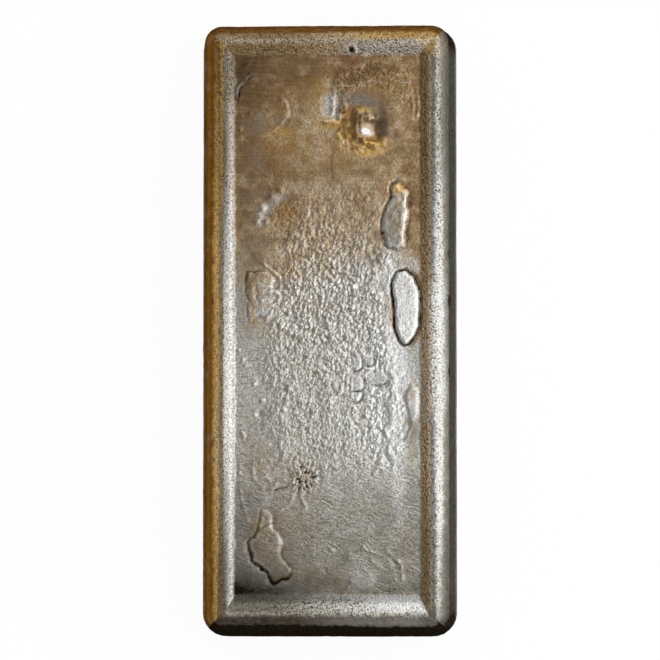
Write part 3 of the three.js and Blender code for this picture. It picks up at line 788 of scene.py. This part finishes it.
def lap_wear_and_painted_light(wear, x, y, patchy, middling):
    """Colours the laps' tops, rims and folds: tarnish and wear, painted highlights on the sides that face the
    lamps, painted shade in the folds and on the sides away from them.
    """
    def seen_from(name):
        cx, cy = LAPS[name]["centre"]
        return lap_distance(name, x, y), x - cx, y - cy

    inside, lx, ly = seen_from("upper")
    top, left_half = ease(inside, 0.0, 0.5), ease(lx, 1.2, 0.2)
    wear["tarnish_and_painted_reflection"] *= 1 - 0.6 * top
    wear["grime_and_painted_shade"] += 0.5 * top * left_half * ease(ly, 5.0, 3.0) * patchy
    wear["gold_and_painted_reflection"] += 0.6 * top * ease(ly, 3.6, 5.4)
    wear["soot_and_painted_shade"] += 0.35 * top * left_half * ease(ly, 4.6, 2.6) * (1 - patchy)
    wear["polish_and_painted_highlight"] += 0.6 * top * ease(lx, 0.9, 1.5) * ease(ly, 5.0, 3.6) * patchy
    wear["soot_and_painted_shade"] += 0.6 * patchy * hump(inside + 0.04, 0.15) * ease(lx, 1.0, -0.6)
    wear["soot_and_painted_shade"] += 0.7 * patchy * hump(inside + 0.38, 0.16) * ease(lx, 0.8, 1.6)
    wear["polish_and_painted_highlight"] += 0.7 * patchy * hump(inside + 0.34, 0.15) * ease(lx, 0.6, -0.6)

    inside, lx, ly = seen_from("middle")
    top = ease(inside, 0.1, 0.5)
    wear["tarnish_and_painted_reflection"] *= 1 - 0.8 * top
    wear["tarnish_and_painted_reflection"] += 0.8 * hump(inside + 0.75, 0.35) * ease(lx, 0.0, -1.5) * ease(ly, 2.5, 0.0)
    wear["tarnish_and_painted_reflection"] += 0.7 * hump(inside + 0.7, 0.4) * ease(lx, 0.5, 2.0)
    wear["polish_and_painted_highlight"] += 0.95 * top * (0.85 + 0.4 * middling)
    wear["soot_and_painted_shade"] += 1.1 * (0.3 + 0.7 * patchy) * hump(inside + 0.12, 0.2)
    wear["soot_and_painted_shade"] += 0.25 * hump(lx - 0.3 - 0.08 * ly, 0.16) * top * patchy
    wear["brown_and_painted_reflection"] += 0.8 * hump(inside + 0.35, 0.3) * ease(lx, 0.2, -1.2) * ease(ly, 5.0, 2.0)

    inside, lx, ly = seen_from("bottom")
    lower_left = ease(lx * 0.7 + ly, -0.5, -3.0)
    wear["tarnish_and_painted_reflection"] += 0.25 * ease(inside, 0.0, 0.6)
    wear["soot_and_painted_shade"] += (0.08 + 0.3 * patchy) * hump(inside + 0.05, 0.18) * np.maximum(lower_left, 0.08)
    wear["brown_and_painted_reflection"] += 0.6 * hump(inside - 0.1, 0.3) * np.clip(1.2 - patchy, 0, 1)
    wear["gold_and_painted_reflection"] += 0.5 * patchy * hump(inside - 0.2, 0.3)
    wear["soot_and_painted_shade"] += 0.5 * stroke(lx, ly, [(-1.9, 4.0), (-0.6, 5.0), (0.7, 5.4)], 0.2)
    wear["polish_and_painted_highlight"] += 0.8 * patchy * hump(inside - 0.25, 0.22) * ease(lx * 0.8 + ly * 0.6, 0.4, 1.8)
    wear["polish_and_painted_highlight"] += 0.5 * patchy * hump(inside + 0.9, 0.45) * ease(-lx - ly, 1.2, 3.0)

    inside, lx, _ = seen_from("left")
    wear["soot_and_painted_shade"] += 0.2 * patchy * hump(inside + 0.1, 0.2) * ease(lx, 1.0, -1.0)


def pan_wear_and_painted_light(points, below):
    """The pan's tarnish and wear, with painted sheen, highlights and shade. below is how deep each point lies
    in its neighbourhood.
    """
    x, y = (points[:, axis] + 0.5 * noise(points, 2.0, 81 + axis) for axis in (0, 1))
    broad, middling = turbulence(points, 9.0, 83), turbulence(points, 2.4, 84)
    patchy = np.clip(0.55 + 1.1 * noise(points, 1.6, 85), 0, 1)
    tarnish_and_painted_reflection = np.interp(y + 2.0 * broad, *TARNISH_ALONG) + spots(x, y, TARNISH_SPOTS)
    tarnish_and_painted_reflection = tarnish_and_painted_reflection * (1 + 0.5 * middling) + 0.07 * broad
    flecks = np.clip(noise(points, 3.4, 90) + 0.5 * noise(points, 1.3, 95), 0, 1)
    grime_and_painted_shade = np.interp(y + 1.5 * broad, *GRIME_AND_SHADE_ALONG) + spots(x, y, GREY_SPOTS) * (1 + middling)
    wear = {
        "tarnish_and_painted_reflection": tarnish_and_painted_reflection,
        "grime_and_painted_shade": grime_and_painted_shade + 0.12 * middling,
        "gold_and_painted_reflection": spots(x, y, GOLD_SPOTS) * (0.8 + 0.6 * middling),
        "polish_and_painted_highlight": sum(amount * patch(x, y, shape, edge) for shape, edge, amount in PALE_AND_SHEEN_PATCHES),
        "soot_and_painted_shade": 0.22 * flecks * ease(tarnish_and_painted_reflection, 0.2, 0.6),
        "brown_and_painted_reflection": 0.2 * np.clip(noise(points, 2.6, 96), 0, 1) * ease(tarnish_and_painted_reflection, 0.3, 0.7)}
    lap_wear_and_painted_light(wear, points[:, 0], points[:, 1], patchy, middling)
    for name, amount, width, path in LINES:
        wear[name] += amount * stroke(x, y, path, width)
    for name, amount, width, path in PATCHY_LINES:
        wear[name] += amount * patchy * stroke(x, y, path, width)
    for name, table in PLAIN_SPOTS.items():
        wear[name] += spots(x, y, table)

    # the blow-hole, with painted shade in a ring on its right-hand side, and the scorched loop above it
    reach = np.hypot(x - 9.6, (y - 39.0) * 0.6)
    wear["soot_and_painted_shade"] += 0.28 * hump(reach - 2.0, 0.9) * ease(x, 9.2, 10.2) * (0.8 + middling)
    wear["polish_and_painted_highlight"] += 0.6 * patchy * spot(x, y, 8.0, 40.6, 1.3)
    wear["tarnish_and_painted_reflection"] += 0.5 * ease(np.hypot((x - 6.2) / 4.4, (y - 38.2) / 4.2), 1.0, 0.7)
    wear["brown_and_painted_reflection"] += 0.35 * hump(np.hypot((x - 4.5) / 1.7, (y - 39.3) / 2.0) - 0.9, 0.5)
    scorch = patch(x, y, SCORCH, 0.6)
    wear["tarnish_and_painted_reflection"] += scorch * (0.06 - 0.45 * ease(noise(points, 0.6, 88), 0.05, 0.5))
    wear["soot_and_painted_shade"] += 0.22 * scorch * ease(noise(points, 0.7, 86), 0.0, 0.5)
    wear["brown_and_painted_reflection"] += 0.5 * scorch * ease(noise(points, 0.65, 87), 0.0, 0.5)

    # the star, soot in the chips' cracks, tarnish and painted shade in the hollows, and polish and painted
    # highlight on the ridges
    star = ease(np.hypot(x - STAR_CENTRE[0], y - STAR_CENTRE[1]), STAR_REACH, 0.5)
    wear["tarnish_and_painted_reflection"] += 0.25 * star
    wear["soot_and_painted_shade"] += star * ease(below, 0.01, 0.09) + 0.4 * ease(below, 0.03, 0.14)
    wear["soot_and_painted_shade"] += 0.7 * (0.3 + 0.7 * patchy) * chip_cracks(x, y)
    wear["polish_and_painted_highlight"] += 0.45 * ease(-below, 0.02, 0.1) * ease(wear["tarnish_and_painted_reflection"], 0.8, 0.2)

    # broad painted shade towards the ends and the left-hand side, where the light falls off
    left, lower = ease(x, -9.0, -16.0), ease(y, -45.5 + broad, -51.0)
    blotchy = ease(noise(points, 5.0, 89), 0.0, 0.6)
    wear["soot_and_painted_shade"] += lower * (0.2 + 0.16 * ease(x, 6, -8)) + 0.34 * ease(y, -36, -50) * ease(x, 0, -13)
    wear["soot_and_painted_shade"] += 0.24 * ease(y, 38, 48) * ease(x, 1, -4) + 0.08 * ease(y, 42, 50)
    wear["soot_and_painted_shade"] += 0.05 * ease(y, -28, -36) + 0.12 * blotchy * ease(y, -26, -34)
    wear["soot_and_painted_shade"] += left * (0.3 * ease(y, -8, 6) + 0.2 * ease(y, -26, -36))
    wear["grime_and_painted_shade"] += 0.2 * left * (ease(y, 20, 8) + 0.8 * ease(y, -30, -44) - 0.8 * hump(y + 8, 14))

    speckled = patch(x, y, PEBBLES, 3.0) * ease(y, 4.0, -8.0) * ease(x, 11.0, 7.0) * (1 - on_chips(x, y))
    smooth = stroke(x, y, DARK_ARC, DARK_ARC_WIDTH) + patch(x, y, BARE_BY_HOLE, 0.7)
    wear["grain"] = 0.12 + 0.7 * scorch + 0.2 * speckled - 0.8 * smooth
    return wear


def rim_wear_and_painted_light(points, normals):
    """The rim's and the sides' tarnish and wear, with painted highlights, shade and warm reflection. On each
    side they follow how far the skin leans.
    """
    x, y, z = points.T
    side, lean = rim_side(points, normals)
    lean = lean + 5.0 * turbulence(points, 1.1, 91, 2)
    broad, middling = turbulence(points, 8.0, 92), turbulence(points, 2.0, 93)
    wear = {name: np.full(len(x), 1.0 if name == "grain" else 0.0) for name in WEAR_AND_PAINTED_LIGHT}

    def band(start, full, end, gone):
        return ease(lean, start, full) * ease(lean, gone, end)

    # along the bar: a painted pool of light, brightest a little below the middle and fading to the ends, then
    # the upper part, the middle and the two ends
    painted_light_pool = np.interp(y + 4 * broad, [-58, -48, -36, -26, -8, 4, 14, 24, 36],
                     [0.0, 0.1, 0.4, 0.95, 1.0, 0.8, 0.55, 0.25, 0])
    outside_painted_light_pool = 1 - painted_light_pool
    upper = ease(y + 3 * broad, 20.0, 33.0)
    mid = ease(np.abs(y + 3.4), 16.0, 9.0)
    high, low = ease(y, 12, 40), ease(y, -34, -48)
    ends = np.maximum(ease(y, 24, 40), ease(y, -34, -46))

    # over the rim: the slope to the pan, the crest and the roll outside it
    above = ease(z, PAN_Z + 0.2 * PAN_DEPTH, PAN_Z + 0.5 * PAN_DEPTH)
    slope = np.maximum(ease(lean, -4, -14), (1 - above) * (lean < 0))
    inner = ease(lean, -10, -30)
    crest = band(-20, -8, 6, 14) * above
    roll, edge = band(0, 6, 36, 46), band(14, 21, 32, 42)
    up_left = (PAN[0] - x) / SLOPE["left"]
    # a painted highlight down the left-hand slope to the pan, where it faces the lamps
    painted_glint = hump(up_left - 0.28, 0.38) * slope * (1 - 0.7 * ease(y, 38, 48))

    # left side: a painted highlight down the slope to the pan, which faces the lamps on the right, with
    # painted shade beside it; painted warm reflection in gold and brown on the crest, the roll and the outer
    # side
    on_left = {
        "tarnish_and_painted_reflection": slope * upper * (0.9 - 0.4 * above) + crest * (0.55 + 0.25 * ends),
        "grime_and_painted_shade": crest * (0.7 + 0.3 * ends) * (1 - 0.4 * high)
        + 0.85 * (slope - 0.7 * painted_glint) * outside_painted_light_pool * (1 - 0.5 * ease(lean, -30, -38)),
        "gold_and_painted_reflection": band(3, 9, 32, 42) * (1.15 - 0.3 * high - 0.2 * low) + crest * high,
        "polish_and_painted_highlight": inner * painted_light_pool + 0.6 * painted_glint * outside_painted_light_pool + 0.14 * band(3, 9, 50, 70) * hump(y + 23, 9),
        "brown_and_painted_reflection": band(2, 8, 32, 42) * (0.5 * high + 0.25 * low + 0.25 * ease(y, 40, 50))
        + crest * (0.3 + 0.1 * high + 0.3 * low) + ease(lean, 18, 35),
        "soot_and_painted_shade": slope * ease(up_left, 0.35, 0.72) * (0.55 * outside_painted_light_pool + 0.06) * (1 - 0.5 * ease(y, 34, 42))
        + 0.1 * crest + 0.1 * slope * ends + 0.12 * ease(lean, 48, 66)
        + 0.07 * band(46, 58, 90, 95) * ease(y, 16, 26) * ease(y, 52, 46),
        "grain": -0.25 * inner * painted_light_pool - 0.35 * painted_glint - 0.4 * band(0, 8, 50, 70)}
    # right side: painted warm reflection and painted shade on the slope to the pan, which faces away from the
    # lamps; a painted highlight along the roll, brightest in the painted pool of light; painted shade on the
    # crest and down the outer side
    on_right = {
        "tarnish_and_painted_reflection": slope * (0.65 + 0.2 * upper + 0.2 * middling - 0.15 * painted_light_pool - 0.2 * mid)
        - 0.12 * slope * hump(y + 20, 9) + 0.35 * roll * ease(y, 44, 54),
        "grime_and_painted_shade": (0.25 * slope + 0.9 * roll - 0.54 * edge + 0.5 * band(26, 38, 60, 80)) * outside_painted_light_pool
        + 0.8 * band(34, 44, 60, 80) * (1 - 0.5 * mid) + 0.3 * crest,
        "gold_and_painted_reflection": 0.25 * slope,
        "polish_and_painted_highlight": roll * np.maximum(painted_light_pool, 0.9 * ease(y, -10, 0) * ease(y, 34, 20))
        + 0.4 * edge + 0.4 * band(28, 36, 50, 62) * mid,
        "soot_and_painted_shade": 0.2 * slope * (outside_painted_light_pool + ease(y, -30, -44)) + 0.3 * hump(lean + 18, 10) * (1 - above)
        + band(-14, -6, 6, 19) * (1 - mid) * (0.55 - 0.1 * ends) + 0.06 * band(62, 72, 90, 100)
        + 0.2 * band(48, 56, 80, 95) + 0.25 * band(22, 34, 60, 80) * ends
        + ease(lean, 60, 86) * (0.4 + 0.3 * ease(z, 1.5, 5.0))
        + 0.3 * ease(y, -54.5, -57) * ease(lean, 4, 20) + 0.12 * band(36, 46, 60, 70) * hump(y + 2, 9),
        "grain": -0.35 * edge * ease(y, 24, 8)}
    # lower end: a painted highlight on the right-hand part of the slope to the pan; painted shade, nearly
    # black, on the crest, the roll and the outer side
    on_bottom = {
        "grime_and_painted_shade": slope * ease(x, 2, -12) + crest * (0.5 - 0.5 * ease(x, 0, 10)),
        "polish_and_painted_highlight": 1.1 * slope * ease(x, -2, 13),
        "brown_and_painted_reflection": band(-6, 4, 80, 95) * (0.3 + 0.25 * ease(x, 4, -8)),
        "soot_and_painted_shade": slope * (0.19 * ease(x, 0, -14) + (1 - above) * (0.42 + 0.1 * ease(x, 8, -2)))
        + ease(lean, -8, 10) * (0.85 - 0.3 * ease(x, -2, 14)) + 0.9 * ease(lean, 27, 54)
        - 0.14 * hump(x - 2, 6) * band(-8, 0, 24, 40),
        "grain": -0.6 * slope * ease(x, 4, 12) - 0.9 * ease(lean, 2, 16)}
    # upper end: painted warm reflection in gold and brown on the roll and the outer side, a painted highlight
    # towards the right and painted shade towards the left
    on_top = {
        "tarnish_and_painted_reflection": slope * (0.6 + 0.25 * middling + 0.3 * ease(x, 0, -10)) + 0.5 * crest,
        "grime_and_painted_shade": slope * (0.2 + 0.3 * ease(x, 6, -8)) + 0.6 * crest
        + 0.3 * hump(lean + 12, 8) * (z < PAN_Z + 0.5),
        "gold_and_painted_reflection": band(6, 14, 32, 42) * (0.45 + 0.6 * ease(x, -2, 15)) + slope * (0.15 + 0.25 * ease(x, 8, -6)),
        "polish_and_painted_highlight": 0.25 * crest * ease(x, 8, 14) + 0.5 * slope * ease(x, -4, 12),
        "brown_and_painted_reflection": ease(lean, 26, 44) + band(4, 14, 32, 48) * (0.35 + 0.4 * ease(x, 6, -8)),
        "soot_and_painted_shade": slope * (0.1 + 0.22 * ease(x, 2, -12)) + 0.15 * ease(lean, 46, 66)}
    for number, layers in enumerate((on_left, on_right, on_bottom, on_top)):
        for name, amount in layers.items():
            wear[name] += np.where(side == number, amount, 0.0)

    # the outer left and upper sides: painted warm reflection, mottled, and darker towards the foot
    flank = ease(lean, 58, 76) * np.isin(side, (LEFT, TOP))
    wear["grain"] += 0.4 * flank - 0.4 * ease(lean, 30, 44) * (side != BOTTOM)
    wear["tarnish_and_painted_reflection"] += 0.75 * flank
    wear["brown_and_painted_reflection"] *= 1 - 0.4 * flank * np.clip(turbulence(points, 3.0, 97, 2) + 0.15, 0, 1)
    wear["soot_and_painted_shade"] += flank * (0.36 * np.clip(turbulence(points, 1.6, 98, 2), 0, 1) + 0.3 * ease(z, 4.0, 0.6))

    # a painted highlight on the upper right corner, painted shade in the knocks and in the pinhole, and a
    # painted highlight on the pinhole's rim
    corner = spot(x, y, 19.6, 55.2, 2.3) * (lean > -25)
    wear["gold_and_painted_reflection"] += 1.2 * corner
    wear["polish_and_painted_highlight"] += 0.1 * corner
    wear["soot_and_painted_shade"] += spots(x, y, RIM_DARK_SPOTS)
    for along, below, width, tall, _ in KNOCKS:
        wear["soot_and_painted_shade"] += 0.12 * spot(y, z, along, HEIGHT - below, 0.45 * width, 0.45 * tall) * (x > 15)
    pin = np.hypot(x - PINHOLE[0], y - PINHOLE[1])
    wear["soot_and_painted_shade"] += 1.2 * ease(pin, 0.6, 0.3)
    wear["polish_and_painted_highlight"] += 0.9 * hump(pin - 1.0, 0.3) * ease(np.abs(x - PINHOLE[0]), 0.3, 0.8)
    return wear


def skin_wear_and_painted_light(points, normals, heights):
    """Every named layer of the skin's tarnish, wear and painted light."""
    x, y, z = points.T
    inset = np.min([x - PAN[0], PAN[1] - x, y - PAN[2], PAN[3] - y], axis=0)
    in_pan = ease(inset + 0.25 * turbulence(points, 1.4, 94, 2), -0.5, 0.1) * (z < PAN_Z + 0.35)
    pan, rim = pan_wear_and_painted_light(points, recess(heights)), rim_wear_and_painted_light(points, normals)
    wear = {name: rim[name] * (1 - in_pan) + pan[name] * in_pan for name in rim}
    wear["pan"] = in_pan
    wear["pebbles"] = in_pan * pebble_share(points) * (1 - on_chips(x, y))
    wear["pebbles"] *= 1 - 0.6 * patch(x, y, WHITE_SMEAR, 1.2)
    wear["lines"] = in_pan * ease(lap_distance("middle", x, y), 0.0, 0.3)
    wear["flow"] = in_pan * (0.06 + 0.6 * ease(y, -18.0, -30.0)) * (1 - wear["lines"])
    wear["frost"] = ease(normals[:, 2], -0.3, -0.8)
    return {name: np.clip(layer, 0, MOST_SOOT_AND_SHADE if name == "soot_and_painted_shade" else 1) for name, layer in wear.items()}


# ---- Materials ----

SILVER = (0.79, 0.77, 0.70, 1)
TAN = (0.72, 0.54, 0.33, 1)
BROWN_TARNISH = (0.36, 0.20, 0.08, 1)
# grey: grime, and also painted shade where the light falls off
GRIME_AND_SHADE_GREY = (0.37, 0.34, 0.28, 1)
# gold: golden crust, and also painted warm reflection on the rim and sides and a painted highlight on a
# corner
GOLD_AND_WARM_REFLECTION = (0.86, 0.54, 0.17, 1)
# deep brown: dark tarnish, and also painted warm reflection on the outer sides
BROWN_AND_WARM_REFLECTION = (0.20, 0.095, 0.018, 1)
# near-white: polished silver, and also the colour of painted highlights, glints and sheen
POLISH_AND_HIGHLIGHT_WHITE = (0.94, 0.94, 0.91, 1)
# near-black: soot, and also the colour of painted shade
SOOT_AND_SHADE_BLACK = (0.013, 0.009, 0.005, 1)
# dark brown: random specks in the smooth pan, and painted shade in the pebbles' crevices
SPECK_AND_CREVICE_SHADE = (0.13, 0.10, 0.06, 1)
TAN_AT = 0.45  # where tan comes between silver and brown
SHOVE_SCALE = 330.0  # lumps to the metre of the noise that shoves textures about


class Graph:
    """The nodes of a material or a world. What goes into a node is a value or another node's output."""

    def __init__(self, owner):
        owner.use_nodes = True
        self.tree = owner.node_tree
        self.tree.nodes.clear()

    def feed(self, socket, value):
        if isinstance(value, bpy.types.NodeSocket):
            self.tree.links.new(value, socket)
        else:
            socket.default_value = value

    def node(self, kind, inputs=(), **settings):
        made = self.tree.nodes.new("ShaderNode" + kind)
        for key, value in settings.items():
            setattr(made, key, value)
        for key, value in dict(inputs).items():
            self.feed(made.inputs[key], value)
        return made

    def maths(self, operation, *values, clamp=False):
        return self.node("Math", enumerate(values), operation=operation, use_clamp=clamp).outputs[0]

    def times(self, a, b, clamp=False):
        return self.maths("MULTIPLY", a, b, clamp=clamp)

    def scaled(self, value, factor, shift, clamp=False):
        return self.maths("MULTIPLY_ADD", value, factor, shift, clamp=clamp)

    def ramp(self, value, start, end, high, low=0.0, **settings):
        """low up to start, rising or falling to high at end."""
        return self.node("MapRange", {"Value": value, "From Min": start, "From Max": end, "To Min": low,
                                      "To Max": high}, **settings).outputs[0]

    def mixed(self, share, under, over):
        """One colour over another."""
        made = self.node("Mix", {0: share}, data_type="RGBA")
        for socket, value in zip((s for s in made.inputs if s.type == "RGBA"), (under, over)):
            self.feed(socket, value)
        return next(s for s in made.outputs if s.type == "RGBA")

    def noise(self, place, scale, detail, rough=0.5, stretch=(1, 1, 1)):
        """Noise whose scale is in lumps to the millimetre, stretched by dividing it along each axis."""
        lumps = tuple(scale * 1000 / s for s in stretch)
        place = self.node("VectorMath", {0: place, 1: lumps}, operation="MULTIPLY").outputs[0]
        settings = {"Vector": place, "Scale": 1.0, "Detail": detail, "Roughness": rough}
        return self.node("TexNoise", settings).outputs[0]

    def warped(self, place, turn, cell, shove):
        """Places in cells (mm, along and across the way they are turned), shoved about this much (mm)."""
        cloud = self.node("TexNoise", {"Vector": place, "Scale": SHOVE_SCALE, "Detail": 1.0}).outputs["Color"]
        shoved = {0: cloud, 1: (4 * shove * MM,) * 3, 2: place}
        place = self.node("VectorMath", shoved, operation="MULTIPLY_ADD").outputs[0]
        along, across = cell
        turned = {"Vector": place, "Rotation": (0, 0, math.radians(turn)),
                  "Scale": (along * MM, across * MM, along * MM)}
        return self.node("Mapping", turned, vector_type="TEXTURE").outputs[0]


def cast_skin():
    """Silver that tarnishes to brown, with the layers of wear and painted light mixed over it one by one."""
    material = bpy.data.materials.new("cast_silver_skin")
    g = Graph(material)
    place = g.node("TexCoord").outputs["Object"]
    wear = {name: g.node("Attribute", attribute_name=name).outputs["Fac"] for name in WEAR_AND_PAINTED_LIGHT + SHARES}
    grain = g.noise(place, 2.3, 2.0, 0.65)
    fleck = g.noise(place, 2.0, 3.0, 0.7, stretch=(2.2, 0.8, 1))
    cloud = g.noise(place, 0.45, 4.0, 0.6)
    lines = g.noise(place, 3.6, 2.0, 0.6, stretch=(1, 34, 1))
    brush = g.noise(place, 2.4, 2.0, 0.6, stretch=(14, 1, 1))
    crumple = g.noise(place, 1.2, 1.0)
    swept = g.warped(place, FLOW_LEAN, (5, 0.36), 0.7)
    packed = g.warped(place, PEBBLE_LEAN, (0.95, 0.65), 0.4)
    flow = g.node("TexNoise", {"Vector": swept, "Scale": 1.0, "Detail": 2.0}).outputs[0]
    lump = g.node("TexVoronoi", {"Vector": packed, "Scale": 1.0}).outputs["Distance"]

    def broken(name, source, amount):
        """A colour layer, thinned and thickened by noise."""
        return g.times(wear[name], g.scaled(source, 2 * amount, 1 - amount), clamp=True)

    level = g.maths("SUBTRACT", broken("tarnish_and_painted_reflection", cloud, 0.5), 0.04)
    for source, amount in ((fleck, 0.9), (brush, 0.5), (flow, 0.15)):
        level = g.scaled(g.maths("SUBTRACT", source, 0.5), amount, level)
    # silver through tan to brown: tarnish, and on the rim and sides also painted warm reflection
    tarnish_and_reflection_ramp = g.node("ValToRGB", {0: level})
    tarnish_and_reflection_ramp.color_ramp.elements[0].color = SILVER
    tarnish_and_reflection_ramp.color_ramp.elements[1].color = BROWN_TARNISH
    tarnish_and_reflection_ramp.color_ramp.elements.new(TAN_AT).color = TAN

    smooth = g.times(wear["pan"], g.scaled(wear["grain"], -2.5, 1.3, clamp=True))
    smooth = g.times(smooth, g.scaled(wear["polish_and_painted_highlight"], -0.6, 1.0))
    clear = g.scaled(level, -1.6, 1.0, clamp=True)
    pore = g.times(g.ramp(grain, 0.5, 0.36, 0.95), wear["grain"], clamp=True)
    colour = tarnish_and_reflection_ramp.outputs[0]
    for share, over in (
            (broken("grime_and_painted_shade", cloud, 0.6), GRIME_AND_SHADE_GREY),
            (broken("gold_and_painted_reflection", fleck, 0.4), GOLD_AND_WARM_REFLECTION),
            (broken("polish_and_painted_highlight", grain, 0.6), POLISH_AND_HIGHLIGHT_WHITE),
            (g.times(g.ramp(fleck, 0.5, 0.3, 0.5), smooth), SPECK_AND_CREVICE_SHADE),
            (g.times(g.times(g.ramp(fleck, 0.5, 0.75, 0.5), smooth), clear), POLISH_AND_HIGHLIGHT_WHITE),
            (broken("brown_and_painted_reflection", cloud, 0.2), BROWN_AND_WARM_REFLECTION),
            (broken("soot_and_painted_shade", fleck, 0.3), SOOT_AND_SHADE_BLACK),
            # painted shade in the pebbles' crevices, and below it a painted highlight on their crowns
            (g.scaled(g.ramp(lump, 0.42, 0.75, 0.55), wear["pebbles"], pore, clamp=True), SPECK_AND_CREVICE_SHADE),
            (g.times(g.ramp(lump, 0.35, 0.1, 0.62), wear["pebbles"]), POLISH_AND_HIGHLIGHT_WHITE)):
        colour = g.mixed(share, colour, over)

    rough = g.scaled(cloud, 0.12, 0.10)
    for name, amount in (("tarnish_and_painted_reflection", 0.08), ("grime_and_painted_shade", 0.06), ("soot_and_painted_shade", 0.2), ("frost", 0.2), ("grain", 0.04)):
        rough = g.scaled(wear[name], amount, rough, clamp=True)

    height = 0.0
    for source, amount in (
            (g.times(grain, wear["grain"]), 0.55), (g.times(g.times(lump, lump), wear["pebbles"]), -0.21),
            (g.times(crumple, wear["pebbles"]), 0.4), (g.times(flow, wear["flow"]), 0.24),
            (g.times(lines, wear["lines"]), 0.012), (fleck, 0.1)):
        height = g.scaled(source, amount, height)
    bump = g.node("Bump", {"Height": height, "Distance": MM, "Strength": 1.0}).outputs[0]
    bright = g.scaled(wear["soot_and_painted_shade"], -0.9, 1.0, clamp=True)
    shader = g.node("BsdfPrincipled", {
        "Base Color": colour, "Metallic": bright, "Specular IOR Level": 0.0, "Roughness": rough,
        "Specular Tint": colour, "Normal": bump})
    g.node("OutputMaterial", {"Surface": shader.outputs[0]})
    return material


def pale_floor():
    """White in the camera's eye, and still darkened a little where the bar shades it."""
    material = bpy.data.materials.new("pale_floor")
    g = Graph(material)
    ray = g.node("LightPath").outputs
    seen = g.maths("ADD", ray["Is Camera Ray"], ray["Is Glossy Ray"])
    seen = g.maths("ADD", seen, ray["Is Transmission Ray"], clamp=True)
    matt = g.node("BsdfDiffuse", {"Color": (0.8, 0.8, 0.8, 1)}).outputs[0]
    glow = g.node("Emission", {"Color": (1, 1, 1, 1), "Strength": 1.05}).outputs[0]
    both = g.node("MixShader", {0: g.times(seen, 0.9), 1: matt, 2: glow}).outputs[0]
    g.node("OutputMaterial", {"Surface": both})
    return material


# ---- The scene ----

def add_object(name, data):
    made = bpy.data.objects.new(name, data)
    bpy.context.scene.collection.objects.link(made)
    return made


def make_bar():
    points, quads, triangles = plain_skin()
    mesh = bpy.data.meshes.new("cast_bar")
    faces = quads.tolist() + triangles.tolist()
    mesh.from_pydata((points * MM).tolist(), [], faces)
    mesh.update()
    normals = np.empty(points.size)
    mesh.vertices.foreach_get("normal", normals)
    normals = normals.reshape(-1, 3)
    heights = relief(points, normals)
    for name, layer in skin_wear_and_painted_light(points, normals, heights).items():
        mesh.attributes.new(name, "FLOAT", "POINT").data.foreach_set("value", layer.astype(np.float32))
    shaped = np.clip(points + normals * heights[:, None], LOW, HIGH)
    mesh.vertices.foreach_set("co", (shaped * MM).ravel())
    mesh.polygons.foreach_set("use_smooth", [True] * len(faces))
    mesh.update()
    bar = add_object("cast_bar", mesh)
    mesh.materials.append(cast_skin())
    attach(bar, "root")
    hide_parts("ingot")


def make_floor():
    mesh = bpy.data.meshes.new("floor")
    corners = [(x * FLOOR_HALF, y * FLOOR_HALF, 0) for x, y in ((-1, -1), (1, -1), (1, 1), (-1, 1))]
    mesh.from_pydata(corners, [], [(0, 1, 2, 3)])
    mesh.materials.append(pale_floor())
    floor = add_object("floor", mesh)
    floor.location.z = -FLOOR_GAP


def make_lamp(name, place, size, radiance):
    """A rectangular softbox at place (mm) that faces the bar."""
    data = bpy.data.lights.new(name, "AREA")
    data.shape = "RECTANGLE"
    data.size, data.size_y = size[0] * MM, size[1] * MM
    data.energy = radiance * math.pi * data.size * data.size_y
    lamp = add_object(name, data)
    lamp.location = Vector(place) * MM
    lamp.rotation_euler = (-Vector(place)).to_track_quat("-Z", "Y").to_euler()


def make_world():
    """A soft dome: brightest low on the right, dim on the left, and pale at the horizon."""
    world = bpy.data.worlds.new("studio")
    bpy.context.scene.world = world
    g = Graph(world)
    way = g.node("SeparateXYZ", {0: g.node("TexCoord").outputs["Generated"]}).outputs
    light = 0.0
    for axis, *ramp in (("X", -0.28, 0.24, 1.02, 0.27), ("X", 0.87, 0.99, -0.4),
                        ("X", -0.75, -0.4, 0.0, 0.16), ("Y", 0.4, 0.95, 0.85)):
        light = g.maths("ADD", light, g.ramp(way[axis], *ramp, interpolation_type="SMOOTHSTEP"))
    sky = g.ramp(way["Z"], 0.02, 0.12, 1.0, interpolation_type="SMOOTHSTEP")
    light = g.node("Mix", {0: sky, 2: HORIZON_LIGHT, 3: light}).outputs[0]
    glow = g.node("Background", {"Strength": light})
    g.node("OutputWorld", {"Surface": glow.outputs[0]})


def make_camera():
    data = bpy.data.cameras.new("camera")
    camera = add_object("camera", data)
    place, target = Vector(CAMERA_PLACE), Vector(CAMERA_TARGET)
    camera.location = place * MM
    back = (place - target).normalized()
    across = Vector((0, 1, 0)).cross(back).normalized()
    camera.rotation_euler = Matrix((across, back.cross(across), back)).transposed().to_euler()
    data.angle = 2 * math.atan(FRAME_WIDTH / 2 / (target - place).length)
    data.clip_start = 0.01
    bpy.context.scene.camera = camera


bpy.context.scene.view_settings.view_transform = "Standard"
make_camera()
make_world()
make_lamp("ceiling", (140, -4, 340), (230, 180), 0.5)
make_lamp("window", (320, -15, 330), (170, 220), 1.1)
make_lamp("key", (420, -10, 125), (140, 200), 1.0)
make_floor()
make_bar()
